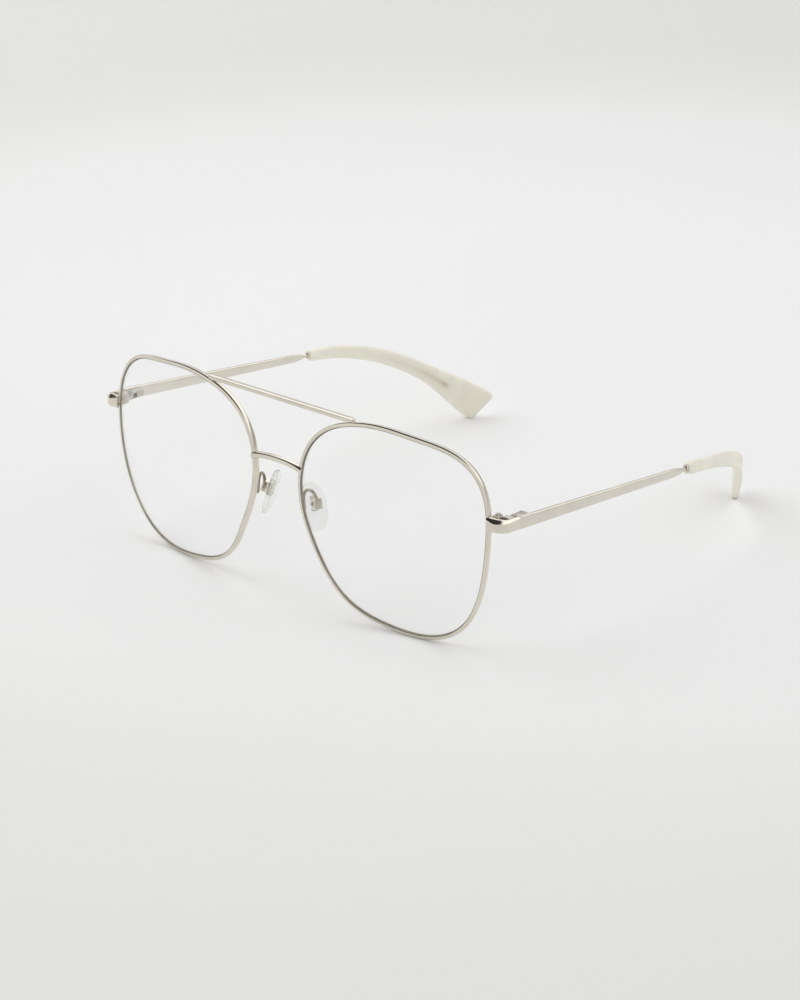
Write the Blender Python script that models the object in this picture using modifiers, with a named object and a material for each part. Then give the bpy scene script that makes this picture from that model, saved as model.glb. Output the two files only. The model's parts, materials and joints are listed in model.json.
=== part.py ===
"""Wire reading glasses with two bridges, folding temples and rocking nose pads.

The glasses stand open on their four feet, the rims' lower edges and the temple tips' ends.
X points to the wearer's left, Y from the lenses back to the ears, Z up. The origin is on the
ground, under the middle of the glasses. Lengths below are in millimetres. Every piece of the
wearer's left side is modelled once, and the right side is its mirror image.
"""

from math import atan2, cos, pi, radians, sin, sqrt, tan

import bmesh
import bpy
from mathutils import Matrix, Vector

MM = 0.001
GAP = 0.05  # between pieces that are soldered, screwed or pressed together
UP = Vector((0, 0, 1))

# Where the measuring point between the rims stands in the finished part
BACK_SHIFT = -70.43
LIFT = 0.17

# Lens shape as an optician traces it: the radius to the rim's centre line, every 22.5 degrees
# from the outer side over the top. The shape is 57 wide and 55 high.
TRACE = (28.1, 30.5, 31.7, 28.5, 27.4, 28.7, 30.7, 30.2, 27.7, 25.8, 26.4, 26.8, 27.0, 29.1, 29.7, 28.3)
TRACE_STEPS = 72
LENS_CENTRE = Vector((36.56, 0.2, 27.75))
LENS_CURVE_RADIUS = 114.3
LENS_TILT = radians(2.45)  # the top leans forward
FACE_FORM = radians(6.6)  # each lens turns back at its outer side
LENS_THICKNESS = 1.4
LENS_RINGS = (0.35, 0.7)

RIM_WIDTH = 1.05
RIM_DEPTH = 1.7
RIM_CHAMFER = 0.28
GROOVE_DEPTH = 0.45
GROOVE_HALF_MOUTH = 0.35
RIM_SPLIT = 0.2
SADDLE_DEPTH = 4.0

# End piece, closing block and hinge, seen from above, and their heights
LUG_CENTRE_Z = 36.4
LUG_HEIGHT = 3.2
LUG_START_X = 64.65
LUG_FRONT_Y = 5.2
LUG_BACK_Y = 7.2
LUG_OUTER_X = 69.8
LUG_CORNER = 3.0
LUG_INNER_CORNER = 1.2
LUG_EDGE = 0.35
JOINT_Y = 12.8
JOINT_GAP = 0.1
BLOCK_CORNERS = ((64.9, 7.25), (66.9, 9.7))
BLOCK_ROUND = 0.85
BLOCK_HEIGHT = 3.6
CLOSING_AXIS = (65.9, 8.6)
CLOSING_SHANK = 0.5
CLOSING_HEAD = 0.85
SCREW_HEAD_HEIGHT = 0.4
SCREW_SLOT = 0.25
SCREW_SLOT_DEPTH = 0.2
SCREW_SHORT = 0.3  # how far a screw stops short of its block's far side

PIN = Vector((66.9, 13.3, LUG_CENTRE_Z))
PIN_RADIUS = 0.6
PIN_HEAD = 0.9
BARREL_RADIUS = 1.1
TONGUE_THICKNESS = 1.0
TONGUE_BASE_FRONT_Y = 10.0
TONGUE_BASE_BACK_Y = 12.1
TONGUE_BASE_HEIGHT = 3.0
TONGUE_BASE_EDGE = 0.2
TONGUE_ROOT = 0.5  # how far the blade reaches into its base
FORK_HEIGHT = 3.2
FORK_BACK_Y = 17.6
FORK_SLOT_HEIGHT = 1.1
FORK_SLOT_BACK_Y = 15.6
FORK_ROUND = 0.6
FORK_PLAY = 0.15  # between the fork and the temple beside it
FORK_SLOT_WIDTH = 8.0

# Temple: a flat strip that narrows to a round core wire, which runs on inside the tip
TEMPLE_THICKNESS = 1.3
TEMPLE_HEIGHT = 3.3
TEMPLE_END_THICKNESS = 1.2
TEMPLE_END_HEIGHT = 2.2
TEMPLE_EDGE = 0.3
TIP_START = Vector((67.64, 84.7, 28.79))
NECK_START = 6.5  # how far ahead of the tip the strip starts to narrow
NECK_END = 2.5
CORE_RADIUS = 0.55
CORE_END = 0.62  # as a share of the tip's length
BORE_RADIUS = 0.6
COLLAR_LENGTH = 0.6
COLLAR_RADIUS = 0.9
COLLAR_CHAMFER = 0.15

# Tip: a bent ear piece that widens to a rounded, slightly slanted paddle
TIP_RUN = 34.3  # how far the curve leaves along the temple
TIP_KNEE = Vector((54.0, 127.3, 13.0))
TIP_END = Vector((46.6, 139.4, 2.67))
TIP_WIDTH = 3.4
TIP_THICKNESS = 2.5
TIP_TAPER = 2.8  # even widening all along the tip
TIP_FLARE = 4.2  # the paddle's own widening, between these shares of the tip's length
TIP_FLARE_FROM = 0.55
TIP_FLARE_TO = 0.95
TIP_SLANT = 0.2
TIP_SLANT_FROM = 0.7
TIP_END_ROUND = 2.1  # of the paddle's corners
TIP_END_THIN = 0.8  # how much of its half thickness the end rounds away
TIP_END_SHARE = 0.033
TIP_END_STEPS = 4
TIP_STATIONS = 16

BRIDGE_END = Vector((8.65, 0.1, 38.15))
BRIDGE_RISE = 0.8
BRIDGE_HEIGHT = 1.25
BRIDGE_DEPTH = 2.0
BRIDGE_STEPS = 12
BRIDGE_ROUND = 0.7
BRIDGE_WAIST = 0.78  # the depth at the middle, as a share of the depth at the rims
BROW_HALF_LENGTH = 24.9
BROW_CENTRE = Vector((0, 1.45, 55.15))
BROW_HEIGHT = 1.0
BROW_DEPTH = 1.9
BROW_EDGE = 0.22

# Nose pads: their centre, how they splay back and how their tops come together
PAD_CENTRE = Vector((7.65, 6.0, 26.35))
PAD_SPLAY = radians(21)
PAD_LEAN = radians(16)
PAD_BACK = 0.7
PAD_DOME = 0.8
PAD_STEPS = (  # the share of the outline at each height, from the back to the dome
    (0.86, -PAD_BACK), (0.97, -0.45), (1.0, 0.0), (0.94, 0.4), (0.7, 0.68), (0.3, PAD_DOME),
)
PAD_PIVOT_OFFSET = 2.0
PAD_PIVOT_RISE = 0.8
PAD_OUTLINE = (
    (-0.8, 6.45), (1.1, 5.75), (2.5, 4.1), (3.35, 1.6), (3.55, -1.4), (3.25, -4.0), (2.3, -5.8),
    (0.4, -6.45), (-1.8, -6.1), (-3.2, -4.6), (-3.6, -1.6), (-3.4, 1.6), (-2.8, 4.2), (-2.0, 5.7),
)
BOX_WIDTH = 2.4
BOX_LENGTH = 3.0
BOX_DEPTH = 1.8
BOX_WALL = 0.4
BOX_EDGE = 0.2
BOX_FLOOR = 0.1
PAD_LUG_WIDTH = 1.3
PAD_LUG_LENGTH = 1.7
PAD_LUG_REACH = 0.62  # how far the lug goes past the pad screw
INSERT_WIDTH = 2.6
INSERT_LENGTH = 4.2
INSERT_THICKNESS = 0.3
PAD_SCREW_RADIUS = 0.4
PAD_SCREW_HEAD = 0.6
PAD_SCREW_HEAD_HEIGHT = 0.3
PAD_SCREW_RIM = 0.1
ARM_RADIUS = 0.45
ARM_ROUTE = (
    (8.65, 1.62, 26.9), (8.35, 1.6, 29.2), (8.3, 1.75, 30.9), (8.45, 2.5, 31.9), (8.8, 3.5, 31.8),
    (9.15, 4.4, 30.9), (9.4, 5.0, 29.6), (9.45, 5.2, 28.6),
)

ROUND_STEPS = 16


for old in list(bpy.data.objects):
    bpy.data.objects.remove(old)

PARTS = bpy.data.collections.new("reading_glasses")
CUTTERS = bpy.data.collections.new("cutters")
bpy.context.scene.collection.children.link(PARTS)
bpy.context.scene.collection.children.link(CUTTERS)


def material(name, colour, metallic, roughness, alpha=1.0):
    """A plain material, its colour as red, green and blue from 0 to 1."""
    made = bpy.data.materials.new(name)
    made.use_nodes = True
    shader = made.node_tree.nodes["Principled BSDF"]
    shader.inputs["Base Color"].default_value = (*colour, 1.0)
    shader.inputs["Metallic"].default_value = metallic
    shader.inputs["Roughness"].default_value = roughness
    shader.inputs["Alpha"].default_value = alpha
    return made


METAL = material("champagne_metal", (0.80, 0.76, 0.68), 1.0, 0.28)
BARREL_METAL = material("hinge_metal", (0.74, 0.71, 0.65), 1.0, 0.35)
SCREW_STEEL = material("screw_steel", (0.62, 0.60, 0.57), 1.0, 0.30)
PEARL = material("pearl_plastic", (0.86, 0.84, 0.76), 0.0, 0.25)
LENS_GLASS = material("clear_lens", (0.96, 0.97, 0.97), 0.0, 0.02, 0.15)
PAD_CLEAR = material("clear_pad", (0.90, 0.91, 0.90), 0.0, 0.15, 0.4)


def moved(point):
    """A point of the drawing, in metres and at its final place."""
    return Vector((point[0], point[1] + BACK_SHIFT, point[2] + LIFT)) * MM


def add(name, mesh, finish, collection=PARTS):
    """An object from a mesh, with its faces pointing out."""
    bm = bmesh.new()
    bm.from_mesh(mesh)
    bmesh.ops.remove_doubles(bm, verts=bm.verts, dist=0.000001)
    bmesh.ops.recalc_face_normals(bm, faces=bm.faces)
    bm.to_mesh(mesh)
    bm.free()
    mesh.materials.clear()
    if finish:
        mesh.materials.append(finish)
    made = bpy.data.objects.new(name, mesh)
    collection.objects.link(made)
    if collection is CUTTERS:
        made.hide_render = True
        made.display_type = "WIRE"
    return made


def loft(rings):
    """A closed mesh through rings of points, each ring with the same number of points."""
    bm = bmesh.new()
    rows = [[bm.verts.new(moved(point)) for point in ring] for ring in rings]
    count = len(rows[0])
    for low, high in zip(rows, rows[1:]):
        for i in range(count):
            j = (i + 1) % count
            bm.faces.new((low[i], low[j], high[j], high[i]))
    bm.faces.new(rows[0])
    bm.faces.new(rows[-1])
    mesh = bpy.data.meshes.new("loft")
    bm.to_mesh(mesh)
    bm.free()
    return mesh


def curve_mesh(curve):
    """The mesh of a curve, with its caps welded."""
    drawn = bpy.data.objects.new("drawn", curve)
    bpy.context.scene.collection.objects.link(drawn)
    bpy.context.view_layer.update()
    seen = drawn.evaluated_get(bpy.context.evaluated_depsgraph_get())
    mesh = bpy.data.meshes.new_from_object(seen)
    bpy.data.objects.remove(drawn)
    return mesh


def poly_curve(points, closed, flat=False):
    """A curve through points that are already in metres."""
    curve = bpy.data.curves.new("drawn", "CURVE")
    curve.dimensions = "2D" if flat else "3D"
    spline = curve.splines.new("POLY")
    spline.points.add(len(points) - 1)
    for held, point in zip(spline.points, points):
        held.co = (*Vector(point).to_3d(), 1.0)
    spline.use_cyclic_u = closed
    return curve


def plate(outline, low, high):
    """A flat piece with vertical walls, from its outline seen from above."""
    curve = poly_curve([(x * MM, (y + BACK_SHIFT) * MM) for x, y in outline], True, flat=True)
    curve.fill_mode = "BOTH"
    curve.extrude = (high - low) / 2 * MM
    mesh = curve_mesh(curve)
    mesh.transform(Matrix.Translation((0, 0, ((low + high) / 2 + LIFT) * MM)))
    return mesh


def arc(centre, radius, start, end, steps):
    """Points along an arc, its angles in degrees."""
    angles = [radians(start + (end - start) * i / steps) for i in range(steps + 1)]
    return [(centre[0] + radius * cos(a), centre[1] + radius * sin(a)) for a in angles]


def tube(route, radius):
    """A round wire through points of the drawing."""
    curve = poly_curve([moved(point) for point in route], False)
    curve.bevel_depth = radius * MM
    curve.bevel_resolution = 2
    curve.use_fill_caps = True
    return curve_mesh(curve)


def turned(profile, place, axis=UP):
    """A round piece: its profile's radii and heights from the top down, on an axis at a place."""
    mesh = bpy.data.meshes.new("profile")
    points = [(radius * MM, 0, height * MM) for radius, height in profile]
    mesh.from_pydata(points, [(i, i + 1) for i in range(len(points) - 1)], [])
    drawn = bpy.data.objects.new("drawn", mesh)
    bpy.context.scene.collection.objects.link(drawn)
    screw = drawn.modifiers.new("turn", "SCREW")
    screw.steps = ROUND_STEPS
    screw.render_steps = ROUND_STEPS
    screw.use_merge_vertices = True
    screw.merge_threshold = 0.00001
    bpy.context.view_layer.update()
    seen = drawn.evaluated_get(bpy.context.evaluated_depsgraph_get())
    made = bpy.data.meshes.new_from_object(seen)
    bpy.data.objects.remove(drawn)
    turn = UP.rotation_difference(Vector(axis)).to_matrix().to_4x4()
    made.transform(Matrix.Translation(moved(place)) @ turn)
    return made


def block(size, place, axes=None):
    """A box of a size at a place, along the world's axes or along three given ones."""
    bm = bmesh.new()
    bmesh.ops.create_cube(bm, size=1.0)
    bmesh.ops.scale(bm, vec=Vector(size) * MM, verts=bm.verts)
    if axes:
        turn = Matrix(axes).transposed().to_4x4()
        bmesh.ops.transform(bm, matrix=turn, verts=bm.verts)
    bmesh.ops.translate(bm, vec=moved(place), verts=bm.verts)
    mesh = bpy.data.meshes.new("block")
    bm.to_mesh(mesh)
    bm.free()
    return mesh


def cut(piece, cutter, operation="DIFFERENCE"):
    boolean = piece.modifiers.new(cutter.name, "BOOLEAN")
    boolean.operation = operation
    boolean.solver = "EXACT"
    boolean.object = cutter


def round_edges(piece, width, segments=2):
    bevel = piece.modifiers.new("edges", "BEVEL")
    bevel.width = width * MM
    bevel.segments = segments
    bevel.limit_method = "ANGLE"
    bevel.angle_limit = radians(40)


def cutter(name, mesh):
    return add(name, mesh, None, CUTTERS)


def trace_radius(angle):
    """The lens shape's radius at any angle, a smooth periodic curve through the trace."""
    count = len(TRACE)
    total = 0.0
    for k, radius in enumerate(TRACE):
        turn = (angle - 2 * pi * k / count + pi) % (2 * pi) - pi
        total += radius * (1.0 if abs(turn) < 1e-9 else sin(count * turn / 2) / (count * tan(turn / 2)))
    return total


def trace_point(angle, grow):
    """A point of the lens shape, moved outward by grow along the shape's normal."""
    step = 0.001
    ahead, behind = (
        trace_radius(a) * Vector((cos(a), sin(a))) for a in (angle + step, angle - step)
    )
    along = (ahead - behind).normalized()
    return (ahead + behind) / 2 + grow * Vector((along.y, -along.x))


def on_lens(u, v, out):
    """A point of the flat lens drawing, laid on the curved and tilted lens surface."""
    root = sqrt(LENS_CURVE_RADIUS**2 - u * u - v * v)
    lean = out / LENS_CURVE_RADIUS
    point = Vector((u * (1 + lean), LENS_CURVE_RADIUS - root * (1 + lean), v * (1 + lean)))
    turn = Matrix.Rotation(FACE_FORM, 3, "Z") @ Matrix.Rotation(LENS_TILT, 3, "X")
    return LENS_CENTRE + turn @ point


def split_angle():
    """The angle at which the rim passes the middle of the end piece."""
    low, high = 0.0, pi / 4
    for _ in range(40):
        middle = (low + high) / 2
        if on_lens(*trace_point(middle, 0), 0).z < LUG_CENTRE_Z:
            low = middle
        else:
            high = middle
    return low


SPLIT = split_angle()
TRACE_ANGLES = [SPLIT + 2 * pi * k / TRACE_STEPS for k in range(TRACE_STEPS)]


def swept_rim(section, angles, closed):
    """A section (outward, forward) carried round the lens shape and laid on the lens surface."""
    profile = poly_curve([(x * MM, y * MM) for x, y in section], True, flat=True)
    profile.fill_mode = "NONE"
    held = bpy.data.objects.new("section", profile)
    bpy.context.scene.collection.objects.link(held)
    curve = poly_curve([trace_point(angle, 0) * MM for angle in angles], closed)
    curve.twist_mode = "Z_UP"
    curve.bevel_mode = "OBJECT"
    curve.bevel_object = held
    curve.use_fill_caps = not closed
    mesh = curve_mesh(curve)
    bpy.data.objects.remove(held)
    for vertex in mesh.vertices:
        u, v, out = vertex.co / MM
        vertex.co = moved(on_lens(u, v, out))
    return mesh


def rim():
    half_width = RIM_WIDTH / 2
    half_depth = RIM_DEPTH / 2
    section = [
        (half_width, half_depth - RIM_CHAMFER),
        (half_width - RIM_CHAMFER, half_depth),
        (-half_width, half_depth),
        (-half_width, GROOVE_HALF_MOUTH),
        (-half_width + GROOVE_DEPTH, 0),
        (-half_width, -GROOVE_HALF_MOUTH),
        (-half_width, -half_depth),
        (half_width - RIM_CHAMFER, -half_depth),
        (half_width, RIM_CHAMFER - half_depth),
    ]
    half_split = RIM_SPLIT / 2 / trace_radius(SPLIT)
    angles = [SPLIT + half_split, *TRACE_ANGLES[1:], SPLIT + 2 * pi - half_split]
    return add("left_rim", swept_rim(section, angles, False), METAL)


def rim_cutter(name, depth, width=RIM_WIDTH + 2 * GAP):
    section = [
        (width / 2, depth / 2), (-width / 2, depth / 2), (-width / 2, -depth / 2), (width / 2, -depth / 2),
    ]
    return cutter(name, swept_rim(section, TRACE_ANGLES, True))


def lens():
    """The lens as rings of points, from the middle of its front over its edge to its back."""
    half = LENS_THICKNESS / 2
    inner = -RIM_WIDTH / 2 - 2 * GAP
    tip = inner + GROOVE_DEPTH - GAP

    def ring(scale, grow, out):
        points = (trace_point(angle, grow) * scale for angle in TRACE_ANGLES)
        return [on_lens(p.x, p.y, out) for p in points]

    rings = [ring(scale, inner, half) for scale in LENS_RINGS]
    rings.append(ring(1, inner, half))
    rings.append(ring(1, inner, GROOVE_HALF_MOUTH))
    rings.append(ring(1, tip, 0))
    rings.append(ring(1, inner, -GROOVE_HALF_MOUTH))
    rings.append(ring(1, inner, -half))
    rings += [ring(scale, inner, -half) for scale in reversed(LENS_RINGS)]
    return add("left_lens", loft(rings), LENS_GLASS)


def end_piece():
    corner = (LUG_OUTER_X - LUG_CORNER, LUG_FRONT_Y + LUG_CORNER)
    inner_x = LUG_OUTER_X - TEMPLE_THICKNESS
    inner_corner = (inner_x - LUG_INNER_CORNER, LUG_BACK_Y + LUG_INNER_CORNER)
    outline = [
        (LUG_START_X, LUG_FRONT_Y),
        *arc(corner, LUG_CORNER, -90, 0, 8),
        (LUG_OUTER_X, JOINT_Y - JOINT_GAP / 2),
        (inner_x, JOINT_Y - JOINT_GAP / 2),
        *arc(inner_corner, LUG_INNER_CORNER, 0, -90, 4),
        (LUG_START_X, LUG_BACK_Y),
    ]
    low = LUG_CENTRE_Z - LUG_HEIGHT / 2
    piece = add("left_end_piece", plate(outline, low, low + LUG_HEIGHT), METAL)
    round_edges(piece, LUG_EDGE)
    cut(piece, RIM_SEAT)
    return piece


def closing_blocks():
    """The two halves of the block that a screw pulls together to close the rim."""
    (x0, y0), (x1, y1) = BLOCK_CORNERS
    outline = [
        (x0, y0),
        (x1, y0),
        *arc((x1 - BLOCK_ROUND, y1 - BLOCK_ROUND), BLOCK_ROUND, 0, 90, 4),
        *arc((x0 + BLOCK_ROUND, y1 - BLOCK_ROUND), BLOCK_ROUND, 90, 180, 4),
    ]
    half = BLOCK_HEIGHT / 2
    bore = CLOSING_SHANK + GAP
    profile = ((0, BLOCK_HEIGHT), (bore, BLOCK_HEIGHT), (bore, -BLOCK_HEIGHT), (0, -BLOCK_HEIGHT))
    drill = cutter("closing_bore", turned(profile, (*CLOSING_AXIS, LUG_CENTRE_Z)))
    halves = {
        "left_closing_block_upper": (LUG_CENTRE_Z + RIM_SPLIT / 2, LUG_CENTRE_Z + half),
        "left_closing_block_lower": (LUG_CENTRE_Z - half, LUG_CENTRE_Z - RIM_SPLIT / 2),
    }
    made = []
    for name, (low, high) in halves.items():
        piece = add(name, plate(outline, low, high), BARREL_METAL)
        cut(piece, RIM_SEAT)
        cut(piece, drill)
        made.append(piece)
    return made


def slotted_screw(name, place, shank, head, length):
    """A screw hanging from the underside of its head, which is at place."""
    profile = (
        (0, SCREW_HEAD_HEIGHT), (head * 0.8, SCREW_HEAD_HEIGHT), (head, SCREW_HEAD_HEIGHT / 2), (head, 0),
        (shank, 0), (shank, -length), (0, -length),
    )
    piece = add(name, turned(profile, place), SCREW_STEEL)
    slot_place = Vector(place) + UP * SCREW_HEAD_HEIGHT
    cut(piece, cutter(name + "_slot", block((3 * head, SCREW_SLOT, 2 * SCREW_SLOT_DEPTH), slot_place)))
    return piece


def closing_screw():
    top = LUG_CENTRE_Z + BLOCK_HEIGHT / 2 + GAP
    place = (*CLOSING_AXIS, top)
    return slotted_screw("left_closing_screw", place, CLOSING_SHANK, CLOSING_HEAD,
                         BLOCK_HEIGHT - SCREW_SHORT)


def pin_hole():
    reach = FORK_HEIGHT
    radius = PIN_RADIUS + GAP
    profile = ((0, reach), (radius, reach), (radius, -reach), (0, -reach))
    return cutter("pin_hole", turned(profile, PIN))


def hinge_tongue(hole):
    outer_x = LUG_OUTER_X - TEMPLE_THICKNESS - GAP
    inner_x = PIN.x - BARREL_RADIUS
    size = (outer_x - inner_x, TONGUE_BASE_BACK_Y - TONGUE_BASE_FRONT_Y, TONGUE_BASE_HEIGHT)
    place = ((outer_x + inner_x) / 2, (TONGUE_BASE_BACK_Y + TONGUE_BASE_FRONT_Y) / 2, LUG_CENTRE_Z)
    piece = add("left_hinge_tongue", block(size, place), BARREL_METAL)
    outline = [
        (PIN.x - BARREL_RADIUS, TONGUE_BASE_FRONT_Y + TONGUE_ROOT),
        (PIN.x + BARREL_RADIUS, TONGUE_BASE_FRONT_Y + TONGUE_ROOT),
        *arc(PIN, BARREL_RADIUS, 0, 180, 12),
    ]
    low = LUG_CENTRE_Z - TONGUE_THICKNESS / 2
    blade = cutter("tongue_blade", plate(outline, low, low + TONGUE_THICKNESS))
    round_edges(piece, TONGUE_BASE_EDGE)
    cut(piece, blade, "UNION")
    cut(piece, hole)
    return piece


def hinge_fork(hole):
    outer_x = LUG_OUTER_X - TEMPLE_THICKNESS - FORK_PLAY
    inner_x = PIN.x - BARREL_RADIUS
    outline = [
        (inner_x, PIN.y),
        *arc(PIN, BARREL_RADIUS, 180, 360, 12)[1:],
        (outer_x, PIN.y + FORK_ROUND),
        (outer_x, FORK_BACK_Y),
        *arc((inner_x + FORK_ROUND, FORK_BACK_Y - FORK_ROUND), FORK_ROUND, 90, 180, 4),
    ]
    low = LUG_CENTRE_Z - FORK_HEIGHT / 2
    piece = add("left_hinge_fork", plate(outline, low, low + FORK_HEIGHT), BARREL_METAL)
    slot_front = PIN.y - 2 * BARREL_RADIUS
    size = (FORK_SLOT_WIDTH, FORK_SLOT_BACK_Y - slot_front, FORK_SLOT_HEIGHT)
    place = (PIN.x, (FORK_SLOT_BACK_Y + slot_front) / 2, LUG_CENTRE_Z)
    cut(piece, cutter("fork_slot", block(size, place)))
    cut(piece, hole)
    return piece


def hinge_screw():
    top = LUG_CENTRE_Z + FORK_HEIGHT / 2 + GAP
    return slotted_screw("left_hinge_screw", (PIN.x, PIN.y, top), PIN_RADIUS, PIN_HEAD,
                         FORK_HEIGHT - SCREW_SHORT)


def rounded_section(half_thickness, half_height, corner, per_corner=3):
    """A rounded rectangle, with the same number of points whatever its size."""
    points = []
    for quarter in range(4):
        sign_x = 1 if quarter in (0, 3) else -1
        sign_y = 1 if quarter in (0, 1) else -1
        for k in range(per_corner):
            angle = pi / 2 * (quarter + (k + 0.5) / per_corner)
            points.append((
                sign_x * (half_thickness - corner) + corner * cos(angle),
                sign_y * (half_height - corner) + corner * sin(angle),
            ))
    return points


def temple_front():
    return Vector((LUG_OUTER_X - TEMPLE_THICKNESS / 2, JOINT_Y + JOINT_GAP / 2, LUG_CENTRE_Z - 0.03))


def temple_line():
    return (TIP_START - temple_front()).normalized()


def tip_curve(share):
    """A point of the tip's centre line and its direction there."""
    start, end = TIP_START, TIP_END
    run = TIP_START + temple_line() * TIP_RUN
    rest = 1 - share
    point = (rest**3 * start + 3 * rest**2 * share * run
             + 3 * rest * share**2 * TIP_KNEE + share**3 * end)
    slope = rest**2 * (run - start) + 2 * rest * share * (TIP_KNEE - run) + share**2 * (end - TIP_KNEE)
    return point, slope.normalized()


def eased(share, start, end):
    """A smooth step from 0 before start to 1 after end."""
    t = min(1.0, max(0.0, (share - start) / (end - start)))
    return t * t * (3 - 2 * t)


def framed(centre, direction, section, slant=0.0):
    """A section set across a direction: its heights run upward, its thicknesses sideways."""
    rise = (UP - direction * UP.dot(direction)).normalized()
    side = direction.cross(rise)
    return [centre + side * x + rise * y + direction * (y * slant) for x, y in section]


def circle(radius):
    return rounded_section(radius, radius, radius)


def core_rings(radius, last):
    stations = [k / TIP_STATIONS for k in range(TIP_STATIONS + 1) if k / TIP_STATIONS < last] + [last]
    return [framed(*tip_curve(share), circle(radius)) for share in stations]


def temple_arm():
    """The flat strip, its round neck, and the core wire inside the tip."""
    line = temple_line()
    front = rounded_section(TEMPLE_THICKNESS / 2, TEMPLE_HEIGHT / 2, TEMPLE_EDGE)
    end = rounded_section(TEMPLE_END_THICKNESS / 2, TEMPLE_END_HEIGHT / 2, TEMPLE_EDGE)
    strip = [
        framed(temple_front(), Vector((0, 1, 0)), front),
        framed(TIP_START - line * NECK_START, line, end),
        framed(TIP_START - line * NECK_END, line, circle(CORE_RADIUS)),
    ]
    return add("left_temple_arm", loft(strip + core_rings(CORE_RADIUS, CORE_END)), METAL)


def tip_collar():
    """The small ring on the neck, right in front of the tip."""
    line = temple_line()
    outer = circle(COLLAR_RADIUS)
    rings = [
        framed(TIP_START - line * COLLAR_LENGTH, line, circle(COLLAR_RADIUS - COLLAR_CHAMFER)),
        framed(TIP_START - line * (COLLAR_LENGTH - COLLAR_CHAMFER), line, outer),
        framed(TIP_START - line * GAP, line, outer),
    ]
    piece = add("left_tip_collar", loft(rings), METAL)
    hole = [
        framed(TIP_START + line * along, line, circle(CORE_RADIUS + GAP))
        for along in (-2 * COLLAR_LENGTH, COLLAR_LENGTH)
    ]
    cut(piece, cutter("neck_hole", loft(hole)))
    return piece


def temple_tip():
    """The tip, from its flat front over its bend to the paddle's rounded end."""
    rings = []
    stations = [(k / TIP_STATIONS, 0) for k in range(TIP_STATIONS)]
    for k in range(TIP_END_STEPS + 1):
        turn = pi / 2 * k / TIP_END_STEPS
        stations.append((1 - TIP_END_SHARE * (1 - sin(turn)), 1 - cos(turn)))
    for share, rounding in stations:
        centre, direction = tip_curve(share)
        if share == 0:
            centre = centre + direction * GAP
        flare = TIP_FLARE * eased(share, TIP_FLARE_FROM, TIP_FLARE_TO)
        half_width = (TIP_WIDTH + TIP_TAPER * share + flare) / 2 - TIP_END_ROUND * rounding
        half_thick = TIP_THICKNESS / 2 - TIP_END_THIN * rounding
        slant = TIP_SLANT * eased(share, TIP_SLANT_FROM, 1)
        section = rounded_section(half_thick, half_width, half_thick * 0.9, 4)
        rings.append(framed(centre, direction, section, slant))
    piece = add("left_temple_tip", loft(rings), PEARL)
    line = temple_line()
    mouth = framed(TIP_START - line * 2, line, circle(BORE_RADIUS))
    end, direction = tip_curve(CORE_END)
    past = framed(end + direction * 0.3, direction, circle(BORE_RADIUS))
    cut(piece, cutter("core_bore", loft([mouth, *core_rings(BORE_RADIUS, CORE_END), past])))
    return piece


def bridge():
    """The lower bridge: an arched bar that laps over the front of both rims."""
    half_depth = BRIDGE_DEPTH / 2
    half_height = BRIDGE_HEIGHT / 2
    rings = []
    for k in range(BRIDGE_STEPS + 1):
        across = 2 * k / BRIDGE_STEPS - 1
        centre = Vector((
            BRIDGE_END.x * across,
            BRIDGE_END.y,
            BRIDGE_END.z + BRIDGE_RISE * (1 - across * across),
        ))
        slope = atan2(-2 * BRIDGE_RISE * across, BRIDGE_END.x)
        depth = half_depth * (BRIDGE_WAIST + (1 - BRIDGE_WAIST) * across * across)
        section = rounded_section(depth, half_height, half_height * BRIDGE_ROUND)
        rings.append([centre + Vector((-y * sin(slope), x, y * cos(slope))) for x, y in section])
    piece = add("bridge", loft(rings), METAL)
    cut(piece, RIM_SEAT)
    cut(piece, RIGHT_RIM_SEAT)
    return piece


def brow_bar():
    size = (2 * BROW_HALF_LENGTH, BROW_DEPTH, BROW_HEIGHT)
    piece = add("brow_bar", block(size, BROW_CENTRE), METAL)
    round_edges(piece, BROW_EDGE)
    cut(piece, RIM_SADDLE)
    cut(piece, RIGHT_RIM_SADDLE)
    return piece


def pad_axes():
    """The pad's own directions: back along its width, up along its length, and to the nose."""
    width = Vector((sin(PAD_SPLAY), cos(PAD_SPLAY), 0))
    inward = Vector((-cos(PAD_SPLAY), sin(PAD_SPLAY), 0))
    length = UP * cos(PAD_LEAN) + inward * sin(PAD_LEAN)
    face = inward * cos(PAD_LEAN) - UP * sin(PAD_LEAN)
    return width, length, face


def pad_place(across, along, out):
    width, length, face = pad_axes()
    return PAD_CENTRE + width * across + length * along + face * out


PAD_PIVOT = pad_place(0, PAD_PIVOT_RISE, -PAD_PIVOT_OFFSET)


def pad_frame():
    return [tuple(axis) for axis in pad_axes()]


def nose_pad(socket):
    """The clear pad: a flat back, a rounded edge and a low dome towards the nose."""
    rings = [
        [pad_place(w * scale, v * scale, out) for w, v in PAD_OUTLINE]
        for scale, out in PAD_STEPS
    ]
    piece = add("left_nose_pad", loft(rings), PAD_CLEAR)
    cut(piece, socket)
    return piece


def pad_socket():
    """The shallow pocket in the pad's back that holds the insert's plate."""
    grown = (INSERT_WIDTH + 2 * GAP, INSERT_LENGTH + 2 * GAP, 2 * (INSERT_THICKNESS + GAP))
    return cutter("pad_socket", block(grown, pad_place(0, PAD_PIVOT_RISE, -PAD_BACK), pad_frame()))


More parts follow.
